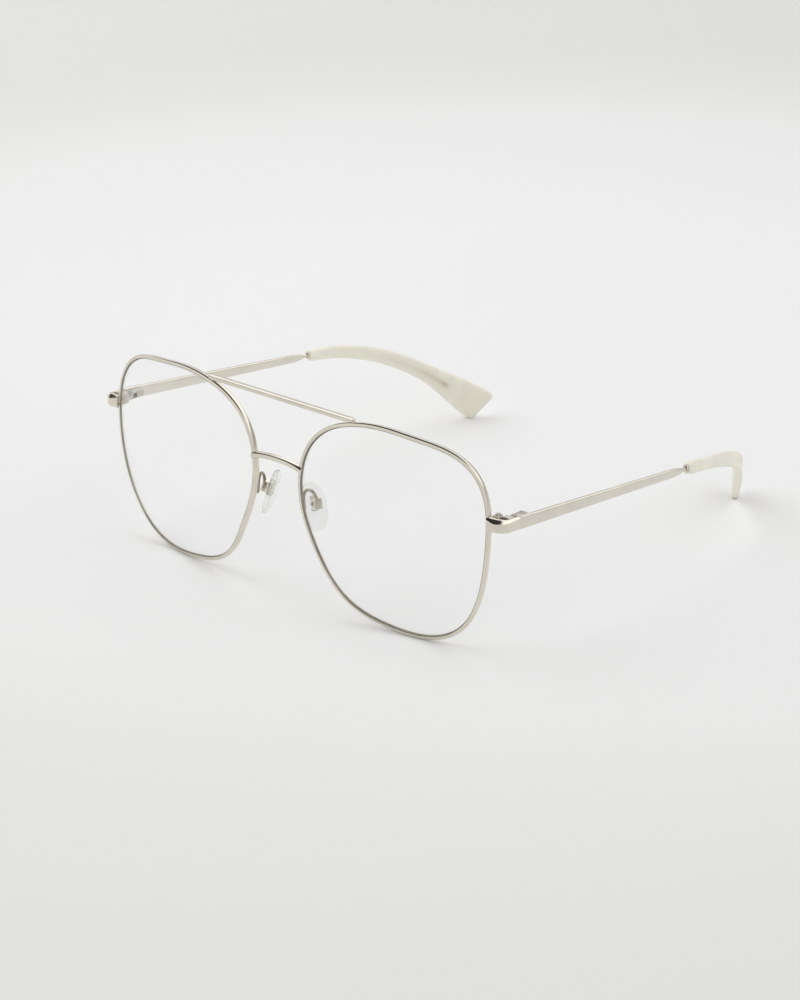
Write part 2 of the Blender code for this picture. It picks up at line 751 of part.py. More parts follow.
def pad_insert(hole):
    """The metal plate set in the pad, with the small lug that the pad screw goes through."""
    plate_size = (INSERT_WIDTH, INSERT_LENGTH, INSERT_THICKNESS)
    plate_out = INSERT_THICKNESS / 2 - PAD_BACK
    plate_place = pad_place(0, PAD_PIVOT_RISE, plate_out)
    piece = add("left_pad_insert", block(plate_size, plate_place, pad_frame()), BARREL_METAL)
    depth = PAD_PIVOT_OFFSET - PAD_BACK + INSERT_THICKNESS / 2 + PAD_LUG_REACH
    lug_out = -PAD_PIVOT_OFFSET - PAD_LUG_REACH + depth / 2
    lug_size = (PAD_LUG_WIDTH, PAD_LUG_LENGTH, depth)
    lug = cutter("pad_lug", block(lug_size, pad_place(0, PAD_PIVOT_RISE, lug_out), pad_frame()))
    cut(piece, lug, "UNION")
    cut(piece, hole)
    return piece


def pad_box(hole):
    """The open box on the arm's end, in which the insert's lug rocks."""
    box = block((BOX_WIDTH, BOX_LENGTH, BOX_DEPTH), PAD_PIVOT, pad_frame())
    piece = add("left_pad_box", box, BARREL_METAL)
    hollow = (PAD_LUG_WIDTH + 2 * GAP, BOX_LENGTH - 2 * BOX_WALL, BOX_DEPTH)
    place = pad_place(0, PAD_PIVOT_RISE, BOX_FLOOR - PAD_PIVOT_OFFSET)
    round_edges(piece, BOX_EDGE)
    cut(piece, cutter("box_hollow", block(hollow, place, pad_frame())))
    cut(piece, hole)
    return piece


def pad_hole():
    radius = PAD_SCREW_RADIUS + GAP
    reach = BOX_WIDTH
    profile = ((0, reach), (radius, reach), (radius, -reach), (0, -reach))
    return cutter("pad_hole", turned(profile, PAD_PIVOT, pad_axes()[0]))


def pad_screw():
    half = BOX_WIDTH / 2
    under = half + GAP
    head = under + PAD_SCREW_HEAD_HEIGHT
    profile = (
        (0, head), (PAD_SCREW_HEAD * 0.75, head), (PAD_SCREW_HEAD, under + PAD_SCREW_RIM),
        (PAD_SCREW_HEAD, under), (PAD_SCREW_RADIUS, under), (PAD_SCREW_RADIUS, -half), (0, -half),
    )
    return add("left_pad_screw", turned(profile, PAD_PIVOT, -pad_axes()[0]), SCREW_STEEL)


def pad_arm():
    """The bent wire from the rim's back to the pad's box."""
    piece = add("left_pad_arm", tube(ARM_ROUTE, ARM_RADIUS), METAL)
    cut(piece, RIM_SEAT)
    grown = [size + 2 * GAP for size in (BOX_WIDTH, BOX_LENGTH, BOX_DEPTH)]
    cut(piece, cutter("box_seat", block(grown, PAD_PIVOT, pad_frame())))
    return piece


def mirrored(name, mesh, finish, collection=PARTS):
    """A copy of a finished mesh on the other side of the glasses."""
    copied = mesh.copy()
    copied.transform(Matrix.Scale(-1, 4, (1, 0, 0)))
    copied.flip_normals()
    return add(name, copied, finish, collection)


def hold(name, place):
    """An empty on a joint's axis, which its pieces are parented to."""
    held = bpy.data.objects.new(name, None)
    held.location = moved(place)
    held.empty_display_size = 0.005
    PARTS.objects.link(held)
    return held


def parent(pieces, holder):
    bpy.context.view_layer.update()
    for piece in pieces:
        piece.parent = holder
        piece.matrix_parent_inverse = holder.matrix_world.inverted()


RIM_SEAT = rim_cutter("rim_seat", RIM_DEPTH + 2 * GAP)
RIGHT_RIM_SEAT = mirrored("right_rim_seat", RIM_SEAT.data, None, CUTTERS)
RIM_SADDLE = rim_cutter("rim_saddle", SADDLE_DEPTH)
RIGHT_RIM_SADDLE = mirrored("right_rim_saddle", RIM_SADDLE.data, None, CUTTERS)
PIN_HOLE = pin_hole()
PAD_HOLE = pad_hole()

front_pieces = [
    rim(), lens(), end_piece(), *closing_blocks(), closing_screw(), hinge_tongue(PIN_HOLE),
    pad_arm(), pad_box(PAD_HOLE), pad_screw(),
]
temple_pieces = [hinge_fork(PIN_HOLE), hinge_screw(), temple_arm(), tip_collar(), temple_tip()]
pad_pieces = [nose_pad(pad_socket()), pad_insert(PAD_HOLE)]
middle_pieces = [bridge(), brow_bar()]


def right_side(pieces):
    """Mirror images of finished left pieces."""
    bpy.context.view_layer.update()
    seen = bpy.context.evaluated_depsgraph_get()
    made = []
    for piece in pieces:
        mesh = bpy.data.meshes.new_from_object(piece.evaluated_get(seen))
        made.append(mirrored(piece.name.replace("left", "right"), mesh, piece.data.materials[0]))
    return made


groups = {
    "left_temple_hinge": (temple_pieces, PIN),
    "left_pad_pivot": (pad_pieces, PAD_PIVOT),
    "right_temple_hinge": (right_side(temple_pieces), (-PIN.x, PIN.y, PIN.z)),
    "right_pad_pivot": (right_side(pad_pieces), (-PAD_PIVOT.x, PAD_PIVOT.y, PAD_PIVOT.z)),
    "front_frame": (front_pieces + right_side(front_pieces) + middle_pieces, (0, -BACK_SHIFT, -LIFT)),
}
for holder_name, (members, spot) in groups.items():
    parent(members, hold(holder_name, spot))
for made_piece in PARTS.objects:
    if made_piece.type == "MESH":
        made_piece.data.shade_smooth()
        made_piece.data.set_sharp_from_angle(angle=radians(35))
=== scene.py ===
"""The looks of the wire reading glasses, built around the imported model.

Lengths are in millimetres, in the drawing that the model was made from: X to the wearer's left,
Y from the lenses back to the ears, Z up. moved() turns a point of the drawing into metres at its
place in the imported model. Each piece of the wearer's left side is built once, and mirrored for
the right side. The floor's and the studio's sizes are in metres.
"""

import json
from math import atan2, cos, exp, pi, radians, sin, sqrt, tan

import bmesh
import bpy
from mathutils import Matrix, Vector

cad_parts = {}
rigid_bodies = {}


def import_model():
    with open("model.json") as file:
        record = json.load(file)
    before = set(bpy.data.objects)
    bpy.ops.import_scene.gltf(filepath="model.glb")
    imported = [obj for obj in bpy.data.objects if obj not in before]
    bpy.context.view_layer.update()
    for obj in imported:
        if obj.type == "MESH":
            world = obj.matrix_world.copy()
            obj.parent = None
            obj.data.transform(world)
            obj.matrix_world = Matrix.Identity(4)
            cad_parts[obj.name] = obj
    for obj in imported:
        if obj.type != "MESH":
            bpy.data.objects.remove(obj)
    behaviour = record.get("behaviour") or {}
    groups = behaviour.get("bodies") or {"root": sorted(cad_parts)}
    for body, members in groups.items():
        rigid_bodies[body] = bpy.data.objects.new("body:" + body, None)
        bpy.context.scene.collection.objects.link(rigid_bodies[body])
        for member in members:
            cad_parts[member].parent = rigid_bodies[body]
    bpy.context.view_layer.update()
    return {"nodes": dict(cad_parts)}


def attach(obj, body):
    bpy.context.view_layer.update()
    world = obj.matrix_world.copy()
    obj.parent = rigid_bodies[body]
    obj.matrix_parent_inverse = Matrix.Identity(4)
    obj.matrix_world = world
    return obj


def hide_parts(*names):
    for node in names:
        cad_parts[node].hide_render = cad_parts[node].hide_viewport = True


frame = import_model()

MM = 0.001
UP = Vector((0, 0, 1))
BACK_SHIFT = -70.43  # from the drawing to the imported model, like the lift
LIFT = 0.17
GAP = 0.05  # play between pieces that would touch
FILLET_STEPS = 4
FINE_STEPS = 8  # for corners that show as round
ROUND_SHARE = 0.98  # of a round section's radius, for its corners: all of it would leave no sides
EDGE_MIDDLE = 0.3  # where a softened edge has its middle ring, as a share of the edge

# The camera that took the photograph, found from the glasses' outlines
CAMERA_AZIMUTH = radians(41.0)
CAMERA_ELEVATION = radians(22.2)
CAMERA_ROLL = radians(0.14)
CAMERA_AIM = (23.61, 20.67, 27.65)
CAMERA_DISTANCE = 758.0
FOCAL_PIXELS = 2950.2
IMAGE_HEIGHT = 1000
SENSOR = 36.0

# Lens shape: radii to the rim's centre line, every 22.5 degrees from the outer side over the top
TRACE = (28.1, 30.5, 31.7, 28.5, 27.4, 28.7, 30.7, 30.2, 27.7, 25.8, 26.4, 26.8, 27.0, 29.1, 29.7, 28.3)
TRACE_STEPS = 216
SPLIT_HALVINGS = 40
LENS_CENTRE = Vector((36.56, 0.2, 27.75))
LENS_CURVE_RADIUS = 114.3
LENS_TILT = radians(2.45)
FACE_FORM = radians(6.6)
LENS_THICKNESS = 1.4
LENS_RINGS = (0.04, 0.15, 0.3, 0.45, 0.6, 0.75, 0.88, 0.96)

# Rim: its section, and the split behind the end piece
RIM_WIDTH = 1.05
RIM_DEPTH = 1.7
RIM_ROUND = 0.42
RIM_INNER_ROUND = 0.1
GROOVE_DEPTH = 0.45
GROOVE_HALF_MOUTH = 0.35
RIM_SPLIT = 0.2
SPLIT_Z = 36.4
SADDLE_DEPTH = 4.0  # front to back, of the room cut for the rims in the upper bar

# End piece, seen from above
LUG_HEIGHT = 3.2
LUG_START_X = 64.65
LUG_FRONT_Y = 5.2
LUG_BACK_Y = 7.2
LUG_INNER_CORNER = 1.2
LUG_OUTER_X = 69.8
LUG_CORNER = 3.0
LUG_FACET = 0.95  # the polished slope along the top of the corner, at its widest
LUG_FACET_START = 0.35
LUG_FACET_BEHIND = 0.5  # the share of the slope's growth that is left behind the corner
LUG_FACET_EDGE = 0.3
LUG_EDGE = 0.3
LUG_END_EDGE = 0.03
LUG_STEPS = 16
LUG_RISE = 0.65  # how far its front is lifted, and with it the closing block
LUG_RISE_DEPTH = 6.0  # how far behind the front the lift ends
JOINT_Y = 12.8
JOINT_GAP = 0.03

# Hinge and closing block, seen from above, and their heights
PIN = Vector((66.9, 13.3))
PIN_RADIUS = 0.6
PIN_HEAD = 0.75
BARREL_RADIUS = 1.1
FORK_HEIGHT = 2.0
FORK_BACK_Y = 17.6
FORK_PLAY = 0.15
FORK_CORNER = 0.5
FORK_EDGE = 0.3
FORK_SLOT_BACK_Y = 14.9
FORK_SLOT_HEIGHT = 1.1
FORK_SLOT_REACH = 4.0  # to either side of the pin, past the fork's sides
BLOCK_FRONT = Vector((64.9, 7.25))
BLOCK_BACK = Vector((66.9, 9.7))
BLOCK_ROUND = 0.85
BLOCK_FRONT_ROUND = 0.3
BLOCK_HEIGHT = 3.6
BLOCK_EDGE = 0.25
CLOSING_AXIS = Vector((65.9, 8.6))
CLOSING_SHANK = 0.5
CLOSING_HEAD = 0.8
SCREW_PROFILE = (  # from the head's rim to its top: the share of its radius, and the height
    (1.0, 0.0), (1.0, 0.1), (0.93, 0.2), (0.7, 0.28), (0.3, 0.32),
)
SCREW_SLOT = 0.25
SCREW_SLOT_FLOOR = 0.14
SCREW_END = 0.1  # the bevel at the end of its shank
SCREW_SHORT = 0.3  # how far a screw stops short of its block's far side

# Temple strip, its round neck and core wire, and the collar in front of the tip
TEMPLE_THICKNESS = 1.3
TEMPLE_HEIGHT = 3.3
TEMPLE_END_THICKNESS = 1.2
TEMPLE_END_HEIGHT = 2.2
TEMPLE_EDGE = 0.3
TEMPLE_END_EDGE = 0.04
TEMPLE_STATIONS = 12
TEMPLE_DROP = 0.03  # how far its front's middle lies below that of the end piece
NECK_START = 5.8  # how far ahead of the tip the strip starts to narrow
NECK_END = 1.6
NECK_STATIONS = 6
TIP_START = Vector((67.64, 84.7, 28.79))
CORE_RADIUS = 0.55
CORE_END = 0.62
COLLAR_PROFILE = (  # how far ahead of the tip, and the radius there
    (0.6, 0.75), (0.56, 0.83), (0.48, 0.89), (0.4, 0.9), (0.05, 0.9),
)
COLLAR_HOLE = 0.6

# Temple tip: its centre line, its sections and the streak that the core wire makes in it
TIP_RUN = 34.3
TIP_KNEE = Vector((54.0, 127.3, 13.0))
TIP_END = Vector((46.6, 139.4, 2.67))
TIP_WIDTH = 3.4
TIP_THICKNESS = 2.5
TIP_ROUND = 0.45  # of its corners, as a share of its thickness
TIP_TAPER = 2.8  # even widening all along the tip
TIP_FLARE = 4.2  # the paddle's own widening, between these shares of the tip's length
TIP_FLARE_FROM = 0.55
TIP_FLARE_TO = 0.95
TIP_SLANT = 0.2
TIP_SLANT_FROM = 0.7
TIP_STATIONS = 72
TIP_FIRST_STATION = 2  # the first one behind the rounded nose
TIP_NOSE = ((0.0, 0.22), (0.004, 0.12), (0.011, 0.04), (0.02, 0.0))  # share of the length, rounding
TIP_SIDE_STEPS = 10
TIP_END_STEPS = 8
BORE_RADIUS = 0.6
CORE_SHADOW_HEIGHT = 0.75
CORE_SHADOW_END = 0.72
CORE_SHADOW_FADE = 0.03
TIP_END_ROUND = 2.1  # of the paddle's corners
TIP_END_THIN = 0.8  # how much of its half thickness the end rounds away
TIP_END_SHARE = 0.033

# Lower and upper bridge
BRIDGE_END = Vector((8.65, 0.1, 38.15))
BRIDGE_RISE = 0.8
BRIDGE_HEIGHT = 1.4
BRIDGE_DEPTH = 2.1
BRIDGE_WAIST = 0.78
BRIDGE_FOOT = 0.5  # how much taller it is where it meets the rims
BRIDGE_FOOT_POWER = 6  # how late towards its ends it grows taller
BRIDGE_ROUND = 0.66
BRIDGE_ROUND_WAIST = 0.6  # the rounding at the middle, as a share of that at the rims
BRIDGE_END_EDGE = 0.08  # how much smaller its end faces are, as a share of the section
BRIDGE_STEPS = 40
BROW_HALF_LENGTH = 24.9
BROW_CENTRE = Vector((0, 1.45, 55.15))
BROW_HEIGHT = 1.0
BROW_DEPTH = 1.9
BROW_EDGE = 0.12

# Nose pad: its place, the plate and lug in it, and the box that holds it
PAD_CENTRE = Vector((7.65, 6.0, 26.35))
PAD_SPLAY = radians(21)
PAD_LEAN = radians(16)
PAD_PROFILE = (  # the outline's share at each height, from the back to the dome
    (0.02, -0.7), (0.5, -0.7), (0.8, -0.68), (0.95, -0.5), (1.0, -0.05), (0.95, 0.35), (0.72, 0.66),
    (0.3, 0.79), (0.02, 0.8),
)
PAD_RINGS = 40
PAD_AROUND = 96
PAD_PIVOT_OFFSET = 2.0
PAD_PIVOT_RISE = 0.8
BOX_WIDTH = 2.4
BOX_LENGTH = 3.0
BOX_DEPTH = 1.8
PAD_OUTLINE = (
    (-0.8, 6.45), (1.1, 5.75), (2.5, 4.1), (3.35, 1.6), (3.55, -1.4), (3.25, -4.0), (2.3, -5.8),
    (0.4, -6.45), (-1.8, -6.1), (-3.2, -4.6), (-3.6, -1.6), (-3.4, 1.6), (-2.8, 4.2), (-2.0, 5.7),
)
INSERT_OUTLINE = (  # across and along the pad, and the corners' radii
    (1.3, -2.1, 0.6), (0.8, -0.8, 0.4), (0.8, 0.8, 0.4), (1.3, 2.1, 0.6),
    (-1.3, 2.1, 0.6), (-0.8, 0.8, 0.4), (-0.8, -0.8, 0.4), (-1.3, -2.1, 0.6),
)
INSERT_BACK = -0.66
INSERT_FRONT = -0.4
PAD_LUG_HALF_WIDTH = 0.65
PAD_LUG_HALF_LENGTH = 0.85
PAD_LUG_REACH = 0.62
PAD_LUG_ROOT = -0.53  # inside the plate
PAD_LUG_ROUND = 0.5
PAD_BORE = 0.45
PAD_BORE_ROUND = 0.95

# Pad arm
ARM_STATIONS = 64
ARM_AROUND = 20
ARM_RADIUS = 0.4
ARM_FOOT = 0.7  # the share of its radius that its foot starts with
ARM_END_ROUND = 0.3
ARM_ROUTE = (
    (8.65, 1.62, 26.9), (8.35, 1.6, 29.2), (8.3, 1.75, 30.9), (8.45, 2.5, 31.9), (8.8, 3.5, 31.8),
    (9.15, 4.4, 30.9), (9.4, 5.0, 29.6), (9.45, 5.2, 28.6),
)

# Colours
CHAMPAGNE = (0.75, 0.705, 0.61)
STRIP_CHAMPAGNE = (0.74, 0.705, 0.62)
HINGE_METAL = (0.52, 0.485, 0.415)
STEEL = (0.52, 0.49, 0.43)
# Painted shade: the pad arm darkened to stand for the darker reflection it shows through the pad
ARM_PAINTED_SHADE = (0.33, 0.29, 0.23)
PLATE_SHADE = (0.76, 0.74, 0.68)
# Painted shade on the lens's bevelled edge: the dark line where it sits in the rim's groove
LENS_EDGE_PAINTED_SHADE = (0.47, 0.42, 0.33)
# Painted shade on the rim's inner wall and groove, where the gap between rim and lens lies in shade
GROOVE_PAINTED_SHADE = (0.39, 0.34, 0.255)
PEARL_LIGHT = (0.87, 0.845, 0.735)
PEARL_DARK = (0.84, 0.81, 0.695)
PEARL_CORE = (0.52, 0.45, 0.35)

# The floor's rings, its wall, and its painted pool of light: shades by how far they are from its
# brightest place
FLOOR_FIRST_RING = 0.02
FLOOR_RING_GROWTH = 1.35
FLOOR_RINGS = 17
FLOOR_AROUND = 96
WALL_CURVE = 0.5
WALL_CURVE_STEPS = 12
WALL_HEIGHT = 1.2
LIGHT_POOL_CENTRE = (-0.07, 0.15)  # the brightest place
LIGHT_POOL_REACH = 0.5
# Painted light: the floor's colour falls off away from its brightest place
LIGHT_POOL_SHADES = (
    (0.0, (0.871, 0.871, 0.871)), (0.25, (0.871, 0.871, 0.87)), (0.42, (0.85, 0.85, 0.85)),
    (0.56, (0.835, 0.835, 0.83)), (0.68, (0.785, 0.785, 0.775)), (0.8, (0.76, 0.76, 0.75)),
)

# The studio: the direction that is dark, the sky's shades towards it, and the lamp
DARK_SIDE = (-0.38, -0.5, 0.78)
SKY_SHADES = (
    (0.0, (1.0, 1.0, 1.0)), (0.7, (1.0, 1.0, 1.0)), (0.8, (0.5, 0.5, 0.5)), (0.86, (0.07, 0.07, 0.07)),
    (1.0, (0.03, 0.03, 0.03)),
)
SKY_STRENGTH = 1.35
LAMP_PLACE = (-3.0, -1.6, 3.0)
LAMP_SIZE = 6.0
LAMP_POWER = 166.0


def moved(point):
    """A point of the drawing, in metres and at its final place."""
    return Vector((point[0], point[1] + BACK_SHIFT, point[2] + LIFT)) * MM


def filleted(corners, steps=FILLET_STEPS):
    """A closed outline through corners (across, up, radius), each rounded by its radius."""
    points = []
    count = len(corners)
    for i, (across, up, radius) in enumerate(corners):
        here = Vector((across, up))
        if not radius:
            points.append(here)
            continue
        before = (Vector(corners[i - 1][:2]) - here).normalized()
        after = (Vector(corners[(i + 1) % count][:2]) - here).normalized()
        half = before.angle(after) / 2
        centre = here + (before + after).normalized() * radius / sin(half)
        start = here + before * radius / tan(half) - centre
        end = here + after * radius / tan(half) - centre
        turn = (atan2(end.y, end.x) - atan2(start.y, start.x) + pi) % (2 * pi) - pi
        for k in range(steps + 1):
            points.append(centre + Matrix.Rotation(turn * k / steps, 2) @ start)
    return points


def bar_section(depth, height, edge, steps=FILLET_STEPS):
    """A rounded rectangle around its own middle."""
    x, y = depth / 2, height / 2
    return filleted([(x, -y, edge), (x, y, edge), (-x, y, edge), (-x, -y, edge)], steps)


def eased(share, start, end):
    """A smooth step from 0 before start to 1 after end."""
    t = min(1.0, max(0.0, (share - start) / (end - start)))
    return t * t * (3 - 2 * t)


def framed(centre, direction, section, slant=0.0):
    """A section set across a direction: its heights run upward, its thicknesses sideways."""
    rise = (UP - direction * UP.dot(direction)).normalized()
    side = direction.cross(rise)
    return [centre + side * x + rise * y + direction * (y * slant) for x, y in section]


def through(points, count):
    """Evenly shared points on a smooth curve through a few points, open at its ends."""
    path = [2 * points[0] - points[1], *points, 2 * points[-1] - points[-2]]
    found = []
    for k in range(count):
        place = k * (len(points) - 1) / (count - 1)
        i = min(int(place), len(points) - 2)
        found.append(catmull(*path[i:i + 4], place - i))
    return found


def round_through(points, count):
    """The same on a closed curve."""
    found = []
    for k in range(count):
        place = k * len(points) / count
        i = int(place)
        near = [points[(i + j) % len(points)] for j in (-1, 0, 1, 2)]
        found.append(catmull(*near, place - i))
    return found


def catmull(a, b, c, d, t):
    """A point of the smooth curve through four points, at a share of the way from b to c."""
    return (b + (c - a) * t / 2 + (2 * a - 5 * b + 4 * c - d) * t * t / 2
            + (3 * b - a - 3 * c + d) * t**3 / 2)


def join_rows(bm, rows):
    """Faces between each closed row of vertices and the next."""
    for low, high in zip(rows, rows[1:]):
        for i in range(len(low)):
            j = (i + 1) % len(low)
            bm.faces.new((low[i], low[j], high[j], high[i]))


def finished_mesh(bm, name):
    bmesh.ops.recalc_face_normals(bm, faces=bm.faces)
    mesh = bpy.data.meshes.new(name)
    bm.to_mesh(mesh)
    bm.free()
    return mesh


def loft(rings, hoop=False):
    """A closed skin through rings of points, capped at both ends or joined up as a hoop."""
    bm = bmesh.new()
    rows = [[bm.verts.new(moved(point)) for point in ring] for ring in rings]
    if hoop:
        join_rows(bm, rows + rows[:1])
    else:
        join_rows(bm, rows)
        bm.faces.new(rows[0])
        bm.faces.new(rows[-1])
    return finished_mesh(bm, "piece")


def mirrored(mesh):
    """A copy of a piece of the left side, for the right side."""
    other = mesh.copy()
    other.transform(Matrix.Scale(-1, 4, (1, 0, 0)))
    other.flip_normals()
    return other


def smoothed(mesh, angle=35):
    """The mesh with smooth shading, apart from edges sharper than an angle in degrees."""
    mesh.shade_smooth()
    mesh.set_sharp_from_angle(angle=radians(angle))
    return mesh


def shown(name, mesh, finishes, body, node):
    """Puts a finished piece into the scene, to ride on a body and stand for one CAD node."""
    for finish in finishes:
        mesh.materials.append(finish)
    made = bpy.data.objects.new(name, smoothed(mesh))
    bpy.context.scene.collection.objects.link(made)
    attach(made, body)
    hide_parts(node)


def both_sides(name, mesh, finishes, body, node):
    """A piece of the left side, and its mirror image on the right."""
    other = mirrored(mesh)
    shown("left_" + name, mesh, finishes, body, "left_" + node)
    shown("right_" + name, other, finishes, body.replace("left", "right"), "right_" + node)


def carved(mesh, cutters, added=()):
    """The mesh joined with other solids, and with the cutters' space taken out of it."""
    linked = bpy.context.scene.collection.objects
    held = bpy.data.objects.new("carved", mesh)
    linked.link(held)
    tools = []
    steps = [("UNION", solid) for solid in added] + [("DIFFERENCE", cutter) for cutter in cutters]
    for operation, other in steps:
        tool = bpy.data.objects.new("tool", other)
        linked.link(tool)
        tools.append(tool)
        boolean = held.modifiers.new("shape", "BOOLEAN")
        boolean.operation = operation
        boolean.solver = "EXACT"
        boolean.object = tool
    bpy.context.view_layer.update()
    seen = held.evaluated_get(bpy.context.evaluated_depsgraph_get())
    made = bpy.data.meshes.new_from_object(seen)
    for done in (held, *tools):
        bpy.data.objects.remove(done)
    return made


# Materials


def new_material(name):
    made = bpy.data.materials.new(name)
    made.use_nodes = True
    return made, made.node_tree, made.node_tree.nodes["Principled BSDF"]


def place_on_piece(tree, scale=(1, 1, 1)):
    """The piece's own coordinates, stretched by a scale."""
    coords = tree.nodes.new("ShaderNodeTexCoord")
    mapping = tree.nodes.new("ShaderNodeMapping")
    mapping.inputs["Scale"].default_value = scale
    tree.links.new(coords.outputs["Object"], mapping.inputs["Vector"])
    return mapping.outputs["Vector"]


def noise(tree, place, scale, detail=2.0, distortion=0.0):
    made = tree.nodes.new("ShaderNodeTexNoise")
    made.inputs["Scale"].default_value = scale
    made.inputs["Detail"].default_value = detail
    made.inputs["Distortion"].default_value = distortion
    tree.links.new(place, made.inputs["Vector"])
    return made.outputs["Fac"]


def remap(tree, value, low, high, from_low=0.3, from_high=0.7):
    """A value carried from one span to another; the first is by default that of noise."""
    made = tree.nodes.new("ShaderNodeMapRange")
    made.inputs["From Min"].default_value = from_low
    made.inputs["From Max"].default_value = from_high
    made.inputs["To Min"].default_value = low
    made.inputs["To Max"].default_value = high
    tree.links.new(value, made.inputs["Value"])
    return made.outputs["Result"]


def ramp(tree, value, stops):
    """Colours along a value, from (position, colour) pairs."""
    made = tree.nodes.new("ShaderNodeValToRGB")
    bar = made.color_ramp.elements
    while len(bar) < len(stops):
        bar.new(0.5)
    for element, (position, colour) in zip(bar, stops):
        element.position = position
        element.color = (*colour, 1.0)
    tree.links.new(value, made.inputs["Fac"])
    return made.outputs["Color"]


def multiplied(tree, first, second):
    made = tree.nodes.new("ShaderNodeMath")
    made.operation = "MULTIPLY"
    tree.links.new(first, made.inputs[0])
    tree.links.new(second, made.inputs[1])
    return made.outputs["Value"]


def mixed(tree, factor, first, colour):
    """What comes in first, drawn towards a plain colour."""
    made = tree.nodes.new("ShaderNodeMix")
    made.data_type = "RGBA"
    towards = made.inputs[7]
    towards.default_value = (*colour, 1.0)
    tree.links.new(factor, made.inputs["Factor"])
    tree.links.new(first, made.inputs[6])
    return made.outputs[2]


def bumped(tree, height, strength, distance):
    made = tree.nodes.new("ShaderNodeBump")
    made.inputs["Strength"].default_value = strength
    made.inputs["Distance"].default_value = distance
    tree.links.new(height, made.inputs["Height"])
    return made.outputs["Normal"]


def tinted(colour, share):
    return tuple(min(1.0, value * share) for value in colour)


def metal(name, colour, roughness, spread, grain=(1, 1, 1)):
    """Plated metal: a faint cloudiness in colour, uneven polish and fine grain."""
    made, tree, shader = new_material(name)
    place = place_on_piece(tree)
    cloud = noise(tree, place, scale=140, detail=3)
    stops = [(0.35, tinted(colour, 0.96)), (0.65, tinted(colour, 1.03))]
    tree.links.new(ramp(tree, cloud, stops), shader.inputs["Base Color"])
    shader.inputs["Metallic"].default_value = 1.0
    polish = noise(tree, place, scale=900, detail=3)
    uneven = remap(tree, polish, roughness - spread / 2, roughness + spread / 2)
    tree.links.new(uneven, shader.inputs["Roughness"])
    fine = noise(tree, place_on_piece(tree, grain), scale=5000)
    relief = bumped(tree, fine, strength=0.03, distance=0.000002)
    tree.links.new(relief, shader.inputs["Normal"])
    return made


def pearl():
    """Cream pearl plastic: drifting pale and yellowish clouds, a dark core, a polished skin."""
    made, tree, shader = new_material("pearl_plastic")
    place = place_on_piece(tree, (1, 0.55, 1))
    swirl = noise(tree, place, scale=120, detail=3, distortion=1.2)
    shades = [(0.36, PEARL_DARK), (0.5, tinted(PEARL_LIGHT, 0.93)), (0.62, PEARL_LIGHT)]
    clouds = ramp(tree, swirl, shades)
    core = tree.nodes.new("ShaderNodeAttribute")
    core.attribute_name = "core_shadow"
    patches = remap(tree, noise(tree, place, scale=260), low=0.45, high=1.0)
    streak = multiplied(tree, core.outputs["Fac"], patches)
    tree.links.new(mixed(tree, streak, clouds, PEARL_CORE), shader.inputs["Base Color"])
    uneven = remap(tree, noise(tree, place, scale=500), low=0.3, high=0.4)
    tree.links.new(uneven, shader.inputs["Roughness"])
    relief = bumped(tree, swirl, strength=0.05, distance=0.00001)
    tree.links.new(relief, shader.inputs["Normal"])
    shader.inputs["Subsurface Weight"].default_value = 0.25
    shader.inputs["Subsurface Radius"].default_value = (0.0012, 0.0011, 0.0008)
    shader.inputs["Subsurface Scale"].default_value = 1.0
    shader.inputs["Coat Weight"].default_value = 0.15
    shader.inputs["Coat Roughness"].default_value = 0.08
    return made


def let_lamps_through(made):
    """Lets lamps shine through a clear material, so that it casts no black shadow."""
    tree = made.node_tree
    path = tree.nodes.new("ShaderNodeLightPath")
    clear = tree.nodes.new("ShaderNodeBsdfTransparent")
    mix = tree.nodes.new("ShaderNodeMixShader")
    out = tree.nodes["Material Output"]
    either = tree.nodes.new("ShaderNodeMath")
    either.operation = "MAXIMUM"
    tree.links.new(path.outputs["Is Shadow Ray"], either.inputs[0])
    tree.links.new(path.outputs["Is Diffuse Ray"], either.inputs[1])
    tree.links.new(either.outputs[0], mix.inputs["Fac"])
    tree.links.new(tree.nodes["Principled BSDF"].outputs["BSDF"], mix.inputs[1])
    tree.links.new(clear.outputs["BSDF"], mix.inputs[2])
    tree.links.new(mix.outputs["Shader"], out.inputs["Surface"])
    return made


def lens_glass():
    """Clear lens: even, with the faintest trace of wiping in its polish."""
    made, tree, shader = new_material("clear_lens")
    shader.inputs["Base Color"].default_value = (0.999, 1.0, 1.0, 1.0)
    shader.inputs["Transmission Weight"].default_value = 1.0
    shader.inputs["IOR"].default_value = 1.5
    wiped = noise(tree, place_on_piece(tree, (1, 1, 0.2)), scale=60, detail=3)
    tree.links.new(remap(tree, wiped, low=0.0, high=0.012), shader.inputs["Roughness"])
    return let_lamps_through(made)


def clear_pad():
    """Soft clear plastic, slightly clouded and grey in its depth."""
    made, tree, shader = new_material("clear_pad")
    place = place_on_piece(tree)
    cloud = noise(tree, place, scale=300, detail=3)
    stops = [(0.35, (0.90, 0.91, 0.89)), (0.65, (0.93, 0.94, 0.92))]
    tree.links.new(ramp(tree, cloud, stops), shader.inputs["Base Color"])
    shader.inputs["Transmission Weight"].default_value = 0.95
    shader.inputs["IOR"].default_value = 1.12
    uneven = remap(tree, noise(tree, place, scale=700), low=0.12, high=0.24)
    tree.links.new(uneven, shader.inputs["Roughness"])
    return let_lamps_through(made)


